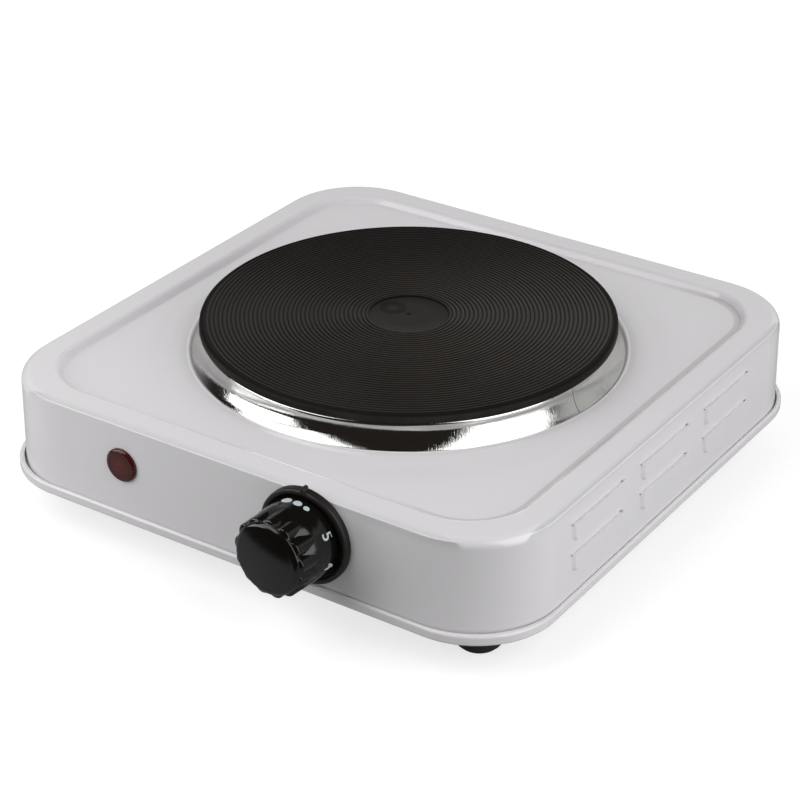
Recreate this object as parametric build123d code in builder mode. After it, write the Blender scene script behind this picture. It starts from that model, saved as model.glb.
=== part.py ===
from build123d import *
import math
import os

os.makedirs("parts", exist_ok=True)

# Electric hot plate with one cast-iron plate, millimetres. The origin is on the table, under
# the middle of the housing. +Z is up, +X is to the right and the controls face -Y.

# ------------------------------------------------------------------ driving dimensions
PLATE_D = 155.0  # cast-iron cooking plate
PLATE_TOP = 63.6  # cooking surface above the table
BODY = 221.4  # side of the square housing at its top
BODY_R = 32.6  # plan radius of the housing's corners
BODY_H = 38.7  # underside of the base pan to the top border
WALL_FLARE = 0.66  # the walls stand this much further out at their foot
SHEET = 0.7  # enamelled sheet steel
TOP_EDGE_R = 3.6  # round between the walls and the top border
FOOT_H = 14.7  # table to the underside of the base pan
RIM = 225.3  # outside of the base pan's folded rim
RIM_H = 4.0  # height of that rim
RIM_R = 31.5  # its plan radius at the corners
PANEL = 193.6  # side of the sunk top panel, at its floor
PANEL_R = 23.0  # its corner radius
PANEL_DROP = 2.3  # border to panel
STEP_RUN = 2.6  # plan width of the slope between them
RING_R = 82.6  # foot of the trim ring
LIP_R = 83.0  # inside of the raised lip round the trim ring
OPENING_R = 79.0  # opening that the plate hangs in
KNOB_X = 33.45  # spindle axis
KNOB_Z = FOOT_H + 22.65
LAMP_X = -46.6  # pilot lamp axis
LAMP_Z = FOOT_H + 23.0
FOOT_XY = 86.5  # foot axes from the middle
GLAND_X = -55.0  # cord inlet, in the rear wall
GLAND_Z = FOOT_H + 17.0
FIT = 0.05  # radial play of a pin in its hole
SCREW_R = 2.0  # foot screws and earth screw
BLOCK_X = -50.0  # middle of the terminal block
BLOCK_Y = 78.0
POLE_PITCH = 12.0
BLOCK_SCREW_R = 1.5
EARTH_X = -20.0  # earth screw

# ------------------------------------------------------------------ derived
TOP_Z = FOOT_H + BODY_H
PANEL_Z = TOP_Z - PANEL_DROP
PAN_FLOOR = FOOT_H + SHEET
WALL_H = TOP_Z - PAN_FLOOR
DRAFT = math.degrees(math.atan2(WALL_FLARE, BODY_H))
FOOT_OF_WALL = BODY + 2 * WALL_FLARE * WALL_H / BODY_H


def wall_at(z):
    """Distance of a wall's outer face from the middle, at height z."""
    return BODY / 2 + WALL_FLARE * (TOP_Z - z) / BODY_H


WALL_Y = -wall_at(KNOB_Z)  # front wall at the knob
LAMP_Y = -wall_at(LAMP_Z)
GLAND_Y = wall_at(GLAND_Z)
FRONT_WALL = Plane(
    origin=(0, -BODY / 2, TOP_Z),
    x_dir=(1, 0, 0),
    z_dir=(0, -math.cos(math.radians(DRAFT)), math.sin(math.radians(DRAFT))),
)
FRONT_INSIDE = FRONT_WALL.offset(-SHEET)
REAR_WALL = Plane(
    origin=(0, BODY / 2, TOP_Z),
    x_dir=(-1, 0, 0),
    z_dir=(0, math.cos(math.radians(DRAFT)), math.sin(math.radians(DRAFT))),
)
REAR_INSIDE = REAR_WALL.offset(-SHEET)
STANDING = (Align.CENTER, Align.CENTER, Align.MIN)


def facing_front(x, y, z):
    """Plane across a front-to-back axis: its X is +X, its Y is up, its normal points forward."""
    return Plane(origin=(x, y, z), x_dir=(1, 0, 0), z_dir=(0, -1, 0))


def profile_plane(x, y, z):
    """Plane along a front-to-back axis, for profiles: X is the radius and Y runs forward."""
    return Plane(origin=(x, y, z), x_dir=(1, 0, 0), z_dir=(0, 0, -1))


def front_axis(x, z):
    """Front-to-back axis to revolve such a profile about."""
    return Axis((x, 0, z), (0, -1, 0))


def keep(piece, name):
    """Label a finished piece and write it."""
    piece.part.label = name
    export_step(piece.part, f"parts/{name}.step")


# ------------------------------------------------------------------ louvres
# A louvre is a shallow hood pressed out of the wall below a straight cut. It is drawn on its
# back: X along the wall, Y up, Z outward, with the cut along Y = 0.
LOUVRE_L = 36.0
LOUVRE_H = 8.4
LOUVRE_R = 4.2
LOUVRE_OUT = 1.0
LOUVRE_SLOPE = 48.0
LOUVRE_PITCH_Y = 46.7
LOUVRE_PITCH_Z = 11.8
LOUVRE_MID_Y = -4.6
LOUVRE_TOP_Z = FOOT_H + 31.6

with BuildPart() as louvre_hood:
    with BuildSketch(Plane.XY.offset(-SHEET / 2)):
        RectangleRounded(LOUVRE_L, 2 * LOUVRE_H, LOUVRE_R)
    extrude(amount=LOUVRE_OUT + SHEET / 2, taper=LOUVRE_SLOPE)
    split(bisect_by=Plane.ZX, keep=Keep.BOTTOM)

with BuildPart() as louvre_hollow:
    with BuildSketch(Plane.XY.offset(-2 * SHEET)):
        RectangleRounded(LOUVRE_L - 0.4, 2 * LOUVRE_H - 0.4, LOUVRE_R)
    extrude(amount=LOUVRE_OUT + SHEET, taper=LOUVRE_SLOPE)
    split(bisect_by=Plane.ZX, keep=Keep.BOTTOM)

louvre_places = []
for side in (-1, 1):
    for column in (-1, 0, 1):
        for row in (0, 1):
            slit_z = LOUVRE_TOP_Z - row * LOUVRE_PITCH_Z
            louvre_places.append(
                Plane(
                    origin=(
                        side * wall_at(slit_z - LOUVRE_H / 2),
                        LOUVRE_MID_Y + column * LOUVRE_PITCH_Y,
                        slit_z,
                    ),
                    x_dir=(0, side, 0),
                    z_dir=(side, 0, 0),
                )
            )

# ------------------------------------------------------------------ housing
BORDER_EDGE_R = 2.4  # round over the step's top edge
STEP_FOOT_R = 1.2  # round at its foot
SHAFT_HOLE_R = 5.0
SCREW_PITCH = 22.0  # thermostat screws, across the spindle
SCREW_HOLE_R = 1.7
WALL_CUT = 2.0  # reach of the cuts through a wall, each way
LAMP_HOLE_R = 5.05
GLAND_HOLE_R = 7.0
LIP_W = 1.2
LIP_H = 0.8

with BuildPart() as top_housing:
    with BuildSketch(Plane.XY.offset(PAN_FLOOR)):
        RectangleRounded(FOOT_OF_WALL, FOOT_OF_WALL, BODY_R + WALL_FLARE)
    extrude(amount=WALL_H, taper=DRAFT)
    # the sunk panel with its sloping step
    with BuildSketch(Plane.XY.offset(PANEL_Z)):
        RectangleRounded(PANEL, PANEL, PANEL_R)
    step_angle = math.degrees(math.atan2(STEP_RUN, PANEL_DROP))
    extrude(amount=PANEL_DROP, taper=-step_angle, mode=Mode.SUBTRACT)
    border = top_housing.faces().sort_by(Axis.Z)[-1]
    fillet(border.outer_wire().edges(), radius=TOP_EDGE_R)
    border = top_housing.faces().sort_by(Axis.Z)[-1]
    fillet(border.inner_wires()[0].edges(), radius=BORDER_EDGE_R)
    panel_floor = top_housing.faces().filter_by(Plane.XY).sort_by(Axis.Z)[-2]
    fillet(panel_floor.outer_wire().edges(), radius=STEP_FOOT_R)
    offset(amount=-SHEET, openings=top_housing.faces().sort_by(Axis.Z)[0])
    # opening for the plate, inside a raised lip that keeps the trim ring in place
    with BuildSketch(Plane.XZ):
        with Locations((LIP_R, PANEL_Z + LIP_H)):
            Rectangle(LIP_W, LIP_H + SHEET, align=(Align.MIN, Align.MAX))
        chamfer(vertices().group_by(Axis.Y)[-1], length=0.4)
    revolve(axis=Axis.Z)
    with BuildSketch(Plane.XY.offset(PANEL_Z + LIP_H)):
        Circle(OPENING_R)
    extrude(amount=-2 * LIP_H - SHEET, mode=Mode.SUBTRACT)
    # holes in the front wall for the spindle, the thermostat's screws and the pilot lamp
    with BuildSketch(facing_front(KNOB_X, WALL_Y, KNOB_Z)):
        Circle(SHAFT_HOLE_R)
        with GridLocations(SCREW_PITCH, 1, 2, 1):
            Circle(SCREW_HOLE_R)
    extrude(amount=WALL_CUT, both=True, mode=Mode.SUBTRACT)
    with BuildSketch(facing_front(LAMP_X, LAMP_Y, LAMP_Z)):
        Circle(LAMP_HOLE_R)
    extrude(amount=WALL_CUT, both=True, mode=Mode.SUBTRACT)
    # cord inlet in the rear wall
    with BuildSketch(facing_front(GLAND_X, GLAND_Y, GLAND_Z)):
        Circle(GLAND_HOLE_R)
    extrude(amount=WALL_CUT, both=True, mode=Mode.SUBTRACT)
    # louvres in both side walls
    with Locations(*louvre_places):
        add(louvre_hood.part)
        add(louvre_hollow.part, mode=Mode.SUBTRACT)
keep(top_housing, "top_housing")

# ------------------------------------------------------------------ base pan
RIM_GAP = 0.25  # between the housing's foot and the rim, along the sides
RIM_INSIDE = FOOT_OF_WALL + 2 * RIM_GAP
RIM_INSIDE_R = 32.2
RIM_EDGE_R = 1.0
EMBOSS = 128.0  # raised middle of the floor
EMBOSS_H = 1.5
EMBOSS_R = 20.0

with BuildPart() as base_pan:
    with BuildSketch(Plane.XY.offset(FOOT_H)):
        RectangleRounded(RIM, RIM, RIM_R)
    extrude(amount=RIM_H)
    fillet(base_pan.edges().group_by(Axis.Z)[-1], radius=RIM_EDGE_R)
    fillet(base_pan.edges().group_by(Axis.Z)[0], radius=RIM_EDGE_R)
    with BuildSketch(Plane.XY.offset(PAN_FLOOR)):
        RectangleRounded(RIM_INSIDE, RIM_INSIDE, RIM_INSIDE_R)
    extrude(amount=RIM_H, mode=Mode.SUBTRACT)
    # the middle of the floor is pressed up to stiffen it
    with BuildSketch(Plane.XY.offset(PAN_FLOOR)):
        RectangleRounded(EMBOSS, EMBOSS, EMBOSS_R)
    extrude(amount=EMBOSS_H, taper=30)
    with BuildSketch(Plane.XY.offset(FOOT_H)):
        RectangleRounded(EMBOSS - 2 * SHEET, EMBOSS - 2 * SHEET, EMBOSS_R - SHEET)
    extrude(amount=EMBOSS_H, taper=30, mode=Mode.SUBTRACT)
    # cooling slots, screw holes under the feet, holes for the earth and block screws
    with BuildSketch(Plane.XY.offset(FOOT_H)):
        with GridLocations(70, 13, 2, 7):
            SlotOverall(40, 4)
        with GridLocations(2 * FOOT_XY, 2 * FOOT_XY, 2, 2):
            Circle(SCREW_R + FIT)
        with Locations((EARTH_X, BLOCK_Y)):
            Circle(SCREW_R + FIT)
        with Locations((BLOCK_X, BLOCK_Y)):
            with GridLocations(POLE_PITCH, 1, 2, 1):
                Circle(BLOCK_SCREW_R + FIT)
    extrude(amount=EMBOSS_H + 2 * SHEET, mode=Mode.SUBTRACT)
keep(base_pan, "base_pan")

# ------------------------------------------------------------------ corner brackets
# Gussets spot-welded into the housing's corners take the foot screws, which hold the pan on.
BRACKET_T = 1.2
BRACKET_FLANGE = 7.0
BRACKET_SIDE = 52.0
BRACKET_OUTSIDE = FOOT_OF_WALL - 2 * SHEET - 0.9
CORNER_CUT_R = 113.0

with BuildPart() as corner_brackets:
    with BuildSketch(Plane.XY.offset(PAN_FLOOR)):
        with GridLocations(2 * FOOT_XY, 2 * FOOT_XY, 2, 2):
            Rectangle(BRACKET_SIDE, BRACKET_SIDE)
        RectangleRounded(
            BRACKET_OUTSIDE, BRACKET_OUTSIDE, BODY_R - SHEET, mode=Mode.INTERSECT
        )
        Circle(CORNER_CUT_R, mode=Mode.SUBTRACT)
    extrude(amount=BRACKET_FLANGE)
    with BuildSketch(Plane.XY.offset(PAN_FLOOR + BRACKET_T)):
        inside = BRACKET_OUTSIDE - 2 * BRACKET_T
        RectangleRounded(inside, inside, BODY_R - SHEET - BRACKET_T)
    extrude(amount=BRACKET_FLANGE, mode=Mode.SUBTRACT)
    with BuildSketch(Plane.XY.offset(PAN_FLOOR)):
        with GridLocations(2 * FOOT_XY, 2 * FOOT_XY, 2, 2):
            Circle(SCREW_R + FIT)
    extrude(amount=BRACKET_T, mode=Mode.SUBTRACT)
keep(corner_brackets, "corner_brackets")

# ------------------------------------------------------------------ feet and their screws
FOOT_BOTTOM_R = 8.0
FOOT_TOP_R = 9.8
FOOT_RECESS_R = 4.4
FOOT_SEAT_Z = 7.0  # where the screw head bears, inside the foot
FOOT_EDGE = 1.2

for name, right, back in (
    ("foot_front_left", -1, -1),
    ("foot_front_right", 1, -1),
    ("foot_rear_left", -1, 1),
    ("foot_rear_right", 1, 1),
):
    foot_x, foot_y = right * FOOT_XY, back * FOOT_XY
    with BuildPart() as foot:
        with BuildSketch(facing_front(foot_x, foot_y, 0)):
            with BuildLine():
                Polyline(
                    (FOOT_RECESS_R, 0),
                    (FOOT_BOTTOM_R - FOOT_EDGE, 0),
                    (FOOT_BOTTOM_R, FOOT_EDGE),
                    (FOOT_TOP_R, FOOT_H - 2),
                    (FOOT_TOP_R, FOOT_H),
                    (SCREW_R + FIT, FOOT_H),
                    (SCREW_R + FIT, FOOT_SEAT_Z),
                    (FOOT_RECESS_R, FOOT_SEAT_Z),
                    close=True,
                )
            make_face()
        revolve(axis=Axis((foot_x, foot_y, 0), (0, 0, 1)))
    keep(foot, name)

SCREW_HEAD_R = 3.6
SCREW_HEAD_H = 2.2

with BuildPart() as foot_screws:
    with GridLocations(2 * FOOT_XY, 2 * FOOT_XY, 2, 2):
        with Locations((0, 0, FOOT_SEAT_Z - SCREW_HEAD_H)):
            Cylinder(SCREW_HEAD_R, SCREW_HEAD_H, align=STANDING)
        with Locations((0, 0, FOOT_SEAT_Z)):
            Cylinder(SCREW_R, FOOT_H - FOOT_SEAT_Z + 6, align=STANDING)
keep(foot_screws, "foot_screws")

# ------------------------------------------------------------------ cooking plate
PLATE_R = PLATE_D / 2
PLATE_BODY_R = 75.0  # below the overhanging edge
PLATE_WALL = 4.5
PLATE_EDGE_H = 3.2
PLATE_WEB = 6.5  # metal over the coil trenches
PLATE_H = 16.8
RECESS_R = 15.8  # dished middle of the cooking surface
RECESS_DEEP = 0.5
RIM_GROOVE_R = 75.7
TRENCH_W = 10.0
TRENCHES = (64.5, 49.5, 34.5)  # mid radii of the coil trenches
RIB_SHORT = 1.5  # the trench ribs stop short of the plate's foot
BOSS_R = 13.0
SHOULDER_Z = PLATE_TOP - PLATE_EDGE_H
WEB_Z = PLATE_TOP - PLATE_WEB
PLATE_FOOT_Z = PLATE_TOP - PLATE_H
RIB_Z = PLATE_FOOT_Z + RIB_SHORT
STUD_R = 3.0
TERMINAL_R = 20.0  # terminals' distance from the middle
TERMINAL_TURN = 225  # the first one's direction, and the turn to the other
TERMINAL_SPREAD = 90
BUSH_R = 3.4  # ceramic bushes round the coil's ends

with BuildPart() as hot_plate:
    with BuildSketch(Plane.XZ):
        with BuildLine():
            Polyline(
                (0, PLATE_TOP - RECESS_DEEP),
                (RECESS_R - 0.8, PLATE_TOP - RECESS_DEEP),
                (RECESS_R, PLATE_TOP),
                (RIM_GROOVE_R, PLATE_TOP),
                (RIM_GROOVE_R + 0.3, PLATE_TOP - 0.5),
                (RIM_GROOVE_R + 0.6, PLATE_TOP - 0.1),
                (PLATE_R - 0.5, PLATE_TOP - 0.3),
                (PLATE_R, PLATE_TOP - 0.9),
                (PLATE_R, SHOULDER_Z),
                (PLATE_BODY_R, SHOULDER_Z),
                (PLATE_BODY_R, PLATE_FOOT_Z),
                (PLATE_BODY_R - PLATE_WALL, PLATE_FOOT_Z),
                (PLATE_BODY_R - PLATE_WALL, RIB_Z),
                (0, RIB_Z),
                close=True,
            )
        make_face()
    revolve(axis=Axis.Z)
    # trenches for the coil, pocket for its ends and the boss for the stud
    with BuildSketch(Plane.XY.offset(RIB_Z)):
        for trench_r in TRENCHES:
            Circle(trench_r + TRENCH_W / 2)
            Circle(trench_r - TRENCH_W / 2, mode=Mode.SUBTRACT)
        Circle(TRENCHES[-1] - TRENCH_W / 2 - 4)
        Circle(BOSS_R, mode=Mode.SUBTRACT)
    extrude(amount=WEB_Z - RIB_Z, mode=Mode.SUBTRACT)
    with BuildSketch(Plane.XY.offset(RIB_Z)):
        Circle(STUD_R)
    extrude(amount=WEB_Z - RIB_Z, mode=Mode.SUBTRACT)
keep(hot_plate, "hot_plate")

# ------------------------------------------------------------------ trim ring
RING_T = 0.5
RING_TOP_R = 77.2
RING_LEDGE_R = 75.3  # the plate's edge rests on this ledge
RING_HOLLOW = 0.9  # how far the flare bends in from a straight cone

with BuildPart() as trim_ring:
    with BuildSketch(Plane.XZ):
        with BuildLine():
            SagittaArc((RING_R, PANEL_Z), (RING_TOP_R, SHOULDER_Z), RING_HOLLOW)
            Polyline(
                (RING_TOP_R, SHOULDER_Z),
                (RING_LEDGE_R, SHOULDER_Z),
                (RING_LEDGE_R, SHOULDER_Z - RING_T),
                (RING_TOP_R - RING_T, SHOULDER_Z - RING_T),
            )
            SagittaArc(
                (RING_R - RING_T, PANEL_Z), (RING_TOP_R - RING_T, SHOULDER_Z - RING_T), RING_HOLLOW
            )
            Line((RING_R - RING_T, PANEL_Z), (RING_R, PANEL_Z))
        make_face()
    revolve(axis=Axis.Z)
keep(trim_ring, "trim_ring")

# ------------------------------------------------------------------ heating element
FILL_H = 5.0  # ceramic packed into the trenches over the coil
COIL_R = 1.6
COVER_T = 0.7
COVER_Z = RIB_Z - COVER_T
BUSH_HEAD_R = 4.6
BUSH_HEAD_Z = COVER_Z - 2.6
BUSH_TOP_Z = COVER_Z + 3.4
PIN_R = 1.5
PIN_FOOT_Z = 38.0
PIN_NUT_H = 2.0
PIN_NUT_FLATS = 5.5

with BuildPart() as coil_fill:
    with BuildSketch(Plane.XY.offset(WEB_Z - FILL_H)):
        for trench_r in TRENCHES:
            Circle(trench_r + TRENCH_W / 2 - FIT)
            Circle(trench_r - TRENCH_W / 2 + FIT, mode=Mode.SUBTRACT)
    extrude(amount=FILL_H)
keep(coil_fill, "coil_fill")

with BuildPart() as heating_coil:
    for trench_r in TRENCHES:
        with BuildSketch(Plane.XZ):
            with Locations((trench_r, WEB_Z - FILL_H - COIL_R)):
                Rectangle(2 * COIL_R, 2 * COIL_R)
        revolve(axis=Axis.Z)
keep(heating_coil, "heating_coil")

with BuildPart() as plate_cover:
    with BuildSketch(Plane.XY.offset(COVER_Z)):
        Circle(PLATE_BODY_R - PLATE_WALL - FIT)
        Circle(STUD_R + 4 * FIT, mode=Mode.SUBTRACT)
        with PolarLocations(TERMINAL_R, 2, TERMINAL_TURN, TERMINAL_SPREAD, endpoint=True):
            Circle(BUSH_R + FIT, mode=Mode.SUBTRACT)
    extrude(amount=COVER_T)
keep(plate_cover, "plate_cover")

with BuildPart() as terminal_bushes:
    with PolarLocations(TERMINAL_R, 2, TERMINAL_TURN, TERMINAL_SPREAD, endpoint=True):
        with Locations((0, 0, BUSH_HEAD_Z)):
            Cylinder(BUSH_HEAD_R, COVER_Z - BUSH_HEAD_Z, align=STANDING)
            Cylinder(BUSH_R, BUSH_TOP_Z - BUSH_HEAD_Z, align=STANDING)
            Cylinder(PIN_R + FIT, BUSH_TOP_Z - BUSH_HEAD_Z, align=STANDING, mode=Mode.SUBTRACT)
keep(terminal_bushes, "terminal_bushes")

with BuildPart() as plate_terminals:
    with BuildSketch(Plane.XY.offset(PIN_FOOT_Z)):
        with PolarLocations(TERMINAL_R, 2, TERMINAL_TURN, TERMINAL_SPREAD, endpoint=True):
            Circle(PIN_R)
    extrude(amount=BUSH_TOP_Z + 1 - PIN_FOOT_Z)
    with BuildSketch(Plane.XY.offset(BUSH_HEAD_Z - PIN_NUT_H)):
        with PolarLocations(
            TERMINAL_R, 2, TERMINAL_TURN, TERMINAL_SPREAD, rotate=False, endpoint=True
        ):
            RegularPolygon(PIN_NUT_FLATS / 2, 6, major_radius=False)
    extrude(amount=PIN_NUT_H)
keep(plate_terminals, "plate_terminals")

# ------------------------------------------------------------------ clamp under the plate
# The strap bears up against the panel while its nut pulls the plate down on the trim ring.
STRAP_W = 18.0
STRAP_T = 1.5
STRAP_FOOT = 92.0
STRAP_LEG = 80.75
STRAP_Z = 42.75
STRAP_BEND_R = 2.5
STUD_FOOT_Z = 33.0
WASHER_R = 7.0
WASHER_T = 1.0
NUT_FLATS = 10.0
NUT_H = 5.0
STRAP_FOOT_Z = PANEL_Z - SHEET - STRAP_T / 2
WASHER_Z = STRAP_Z - STRAP_T / 2 - WASHER_T

with BuildPart() as clamp_strap:
    with BuildSketch(Plane.XZ):
        with BuildLine():
            FilletPolyline(
                (-STRAP_FOOT, STRAP_FOOT_Z),
                (-STRAP_LEG, STRAP_FOOT_Z),
                (-STRAP_LEG, STRAP_Z),
                (STRAP_LEG, STRAP_Z),
                (STRAP_LEG, STRAP_FOOT_Z),
                (STRAP_FOOT, STRAP_FOOT_Z),
                radius=STRAP_BEND_R,
            )
        trace(line_width=STRAP_T)
    extrude(amount=STRAP_W / 2, both=True)
    with BuildSketch(Plane.XY.offset(WASHER_Z)):
        Circle(STUD_R + FIT)
    extrude(amount=2 * STRAP_T, mode=Mode.SUBTRACT)
keep(clamp_strap, "clamp_strap")

with BuildPart() as plate_stud:
    with Locations((0, 0, STUD_FOOT_Z)):
        Cylinder(STUD_R - FIT, WEB_Z - STUD_FOOT_Z, align=STANDING)
    chamfer(plate_stud.edges().sort_by(Axis.Z)[0], length=0.6)
keep(plate_stud, "plate_stud")

with BuildPart() as clamp_washer:
    with BuildSketch(Plane.XY.offset(WASHER_Z)):
        Circle(WASHER_R)
        Circle(STUD_R + FIT, mode=Mode.SUBTRACT)
    extrude(amount=WASHER_T)
keep(clamp_washer, "clamp_washer")

with BuildPart() as clamp_nut:
    with BuildSketch(Plane.XY.offset(WASHER_Z - NUT_H)):
        RegularPolygon(NUT_FLATS / 2, 6, major_radius=False)
        Circle(STUD_R, mode=Mode.SUBTRACT)
    extrude(amount=NUT_H)
keep(clamp_nut, "clamp_nut")

# ------------------------------------------------------------------ knob bezel
BEZEL_R = 17.85
BEZEL_T = 2.0
BEZEL_FLOOR = 1.2  # floor of the dish that the knob turns in
BEZEL_INSIDE_R = 15.5
BEZEL_SHAFT_R = 5.2
NIB_TURN = -1.5  # the index nib leans slightly to the right
NIB_W = 2.2
NIB_T = 1.0
NIB_INNER_R = 15.8
NIB_OUTER_R = 19.4
CSK_R = 2.9

with BuildPart() as knob_bezel:
    with BuildSketch(facing_front(KNOB_X, WALL_Y + 1, KNOB_Z)):
        Circle(BEZEL_R)
    extrude(amount=BEZEL_T + 1)
    chamfer(knob_bezel.faces().sort_by(Axis.Y)[0].edges(), length=0.5)
    # index nib at the top
    with BuildSketch(facing_front(KNOB_X, WALL_Y + 1, KNOB_Z)):
        with Locations(Location((0, 0, 0), (0, 0, NIB_TURN))):
            with Locations((0, (NIB_INNER_R + NIB_OUTER_R) / 2)):
                Rectangle(NIB_W, NIB_OUTER_R - NIB_INNER_R)
    extrude(amount=BEZEL_T + NIB_T + 1)
    split(bisect_by=FRONT_WALL, keep=Keep.TOP)
    with BuildSketch(facing_front(KNOB_X, WALL_Y - BEZEL_FLOOR, KNOB_Z)):
        Circle(BEZEL_INSIDE_R)
    extrude(amount=BEZEL_T, mode=Mode.SUBTRACT)
    # countersunk screw holes and the hole for the thermostat's bush
    with BuildSketch(facing_front(KNOB_X, WALL_Y - BEZEL_FLOOR, KNOB_Z)):
        with GridLocations(SCREW_PITCH, 1, 2, 1):
            Circle(CSK_R + FIT)
    extrude(amount=-CSK_R / 2, taper=45, mode=Mode.SUBTRACT)
    with BuildSketch(facing_front(KNOB_X, WALL_Y - BEZEL_FLOOR, KNOB_Z)):
        Circle(BEZEL_SHAFT_R)
    extrude(amount=-2 * BEZEL_FLOOR, mode=Mode.SUBTRACT)
keep(knob_bezel, "knob_bezel")

# ------------------------------------------------------------------ thermostat
# Depths below are behind the front wall at the knob's height.
BRACKET_L = 50.0
BRACKET_W = 20.0
BRACKET_BACK = SHEET + 1.5
BRACKET_SHIFT = -6.0  # the plate reaches further to the side that carries the blades
BUSH_OUT_R = 4.8
BUSH_FRONT = 0.9
BUSH_BACK = 4.2
SPINDLE_R = 3.0
SPINDLE_FLAT = 2.2
SPINDLE_FRONT = 17.0
SPINDLE_BACK = 8.0
STOP_HUB_R = 5.0
STOP_R = 7.5
STOP_W = 1.5
STOP_FRONT = 4.4
STOP_BACK = 6.4
POST_INNER_R = 5.4
POST_TURN = 42.0  # post ahead of the spindle's lug, at rest
CASE_SCREW_R = 1.55
CASE_SCREW_BACK = 4.4
KNOB_HUB_BACK = 3.2  # in front of the wall
TAIL_R = 1.2
TAIL_FRONT = 3.6
TAIL_BORE_FRONT = 2.5
PLUNGER_R = 2.0
PLUNGER_FRONT = 8.9
PLUNGER_BACK = 12.4
STACK_X = -20.0  # blade stack, from the spindle
STACK_R = 4.5
STACK_SCREW_R = 1.5
BLADE_W = 8.0
BLADE_TIP = 8.0
CONTACT_DEPTH = 12.6
CONTACT_T = 0.4
FIXED_DEPTH = 16.6
FIXED_T = 0.5
BIMETAL_DEPTH = 20.5
BIMETAL_T = 1.0
RIVET_X = 5.0
RIVET_R = 1.8
TAB_W = 6.3
TAB_END = -33.0
CRIMP_R = 1.6
CRIMP_L = 4.0


def behind(depth):
    """Plane facing front on the spindle's axis, at a depth behind the wall."""
    return facing_front(KNOB_X, WALL_Y + depth, KNOB_Z)


with BuildPart() as thermostat_bracket:
    with BuildSketch(behind(BRACKET_BACK)):
        with Locations((BRACKET_SHIFT, 0)):
            RectangleRounded(BRACKET_L, BRACKET_W, 3)
    extrude(amount=BRACKET_BACK)
    split(bisect_by=FRONT_INSIDE, keep=Keep.BOTTOM)
    with BuildSketch(behind(BUSH_BACK)):
        Circle(BUSH_OUT_R)
    extrude(amount=BUSH_BACK + BUSH_FRONT)
    # post that the spindle's lug stops against
    with BuildSketch(behind(STOP_BACK)):
        with Locations(Location((0, 0, 0), (0, 0, -POST_TURN))):
            with Locations((0, POST_INNER_R + STOP_W)):
                Rectangle(STOP_W, 2 * STOP_W)
    extrude(amount=STOP_BACK - BRACKET_BACK)
    with BuildSketch(behind(BUSH_BACK)):
        Circle(SPINDLE_R + FIT)
        with GridLocations(SCREW_PITCH, 1, 2, 1):
            Circle(CASE_SCREW_R + FIT)
        with Locations((STACK_X, 0)):
            Circle(STACK_SCREW_R)
    extrude(amount=BUSH_BACK + 2 * BUSH_FRONT, mode=Mode.SUBTRACT)
keep(thermostat_bracket, "thermostat_bracket")

with BuildPart() as thermostat_screws:
    with BuildSketch(facing_front(KNOB_X, WALL_Y - BEZEL_FLOOR, KNOB_Z)):
        with GridLocations(SCREW_PITCH, 1, 2, 1):
            Circle(CSK_R)
    extrude(amount=-CSK_R / 2, taper=45)
    with BuildSketch(behind(CASE_SCREW_BACK)):
        with GridLocations(SCREW_PITCH, 1, 2, 1):
            Circle(CASE_SCREW_R)
    extrude(amount=CASE_SCREW_BACK)
keep(thermostat_screws, "thermostat_screws")

with BuildPart() as thermostat_spindle:
    with BuildSketch(behind(SPINDLE_BACK)):
        Circle(SPINDLE_R)
    extrude(amount=SPINDLE_BACK + SPINDLE_FRONT)
    with BuildSketch(behind(-SPINDLE_FRONT)):
        with Locations((0, SPINDLE_FLAT + SPINDLE_R)):
            Rectangle(2 * SPINDLE_R, 2 * SPINDLE_R)
    extrude(amount=KNOB_HUB_BACK - SPINDLE_FRONT, mode=Mode.SUBTRACT)
    # collar with the stop lug
    with BuildSketch(behind(STOP_BACK)):
        Circle(STOP_HUB_R)
        with Locations((0, STOP_R / 2)):
            Rectangle(STOP_W, STOP_R)
    extrude(amount=STOP_BACK - STOP_FRONT)
    with BuildSketch(behind(SPINDLE_BACK)):
        Circle(TAIL_R + FIT)
    extrude(amount=SPINDLE_BACK - TAIL_BORE_FRONT, mode=Mode.SUBTRACT)
keep(thermostat_spindle, "thermostat_spindle")

with BuildPart() as thermostat_plunger:
    with BuildSketch(behind(PLUNGER_BACK)):
        Circle(PLUNGER_R)
    extrude(amount=PLUNGER_BACK - PLUNGER_FRONT)
    chamfer(thermostat_plunger.faces().sort_by(Axis.Y)[-1].edges(), length=0.5)
    with BuildSketch(behind(PLUNGER_FRONT)):
        Circle(TAIL_R)
    extrude(amount=PLUNGER_FRONT - TAIL_FRONT)
keep(thermostat_plunger, "thermostat_plunger")

with BuildPart() as contact_blade:
    with BuildSketch(behind(CONTACT_DEPTH + CONTACT_T)):
        with Locations((BLADE_TIP, 0)):
            Rectangle(BLADE_TIP - STACK_X + STACK_R, BLADE_W, align=(Align.MAX, Align.CENTER))
            Rectangle(BLADE_TIP - TAB_END, TAB_W, align=(Align.MAX, Align.CENTER))
        with Locations((STACK_X, 0)):
            Circle(STACK_SCREW_R, mode=Mode.SUBTRACT)
    extrude(amount=CONTACT_T)
    with BuildSketch(behind(CONTACT_DEPTH + CONTACT_T)):
        with Locations((RIVET_X, 0)):
            Circle(RIVET_R)
    extrude(amount=-(FIXED_DEPTH - CONTACT_DEPTH - CONTACT_T) / 2)
    with Locations(behind(CONTACT_DEPTH + CONTACT_T / 2)):
        with Locations(Location((TAB_END - CRIMP_L / 2, 0, 0), (0, 90, 0))):
            Cylinder(CRIMP_R, CRIMP_L)
keep(contact_blade, "contact_blade")

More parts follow.
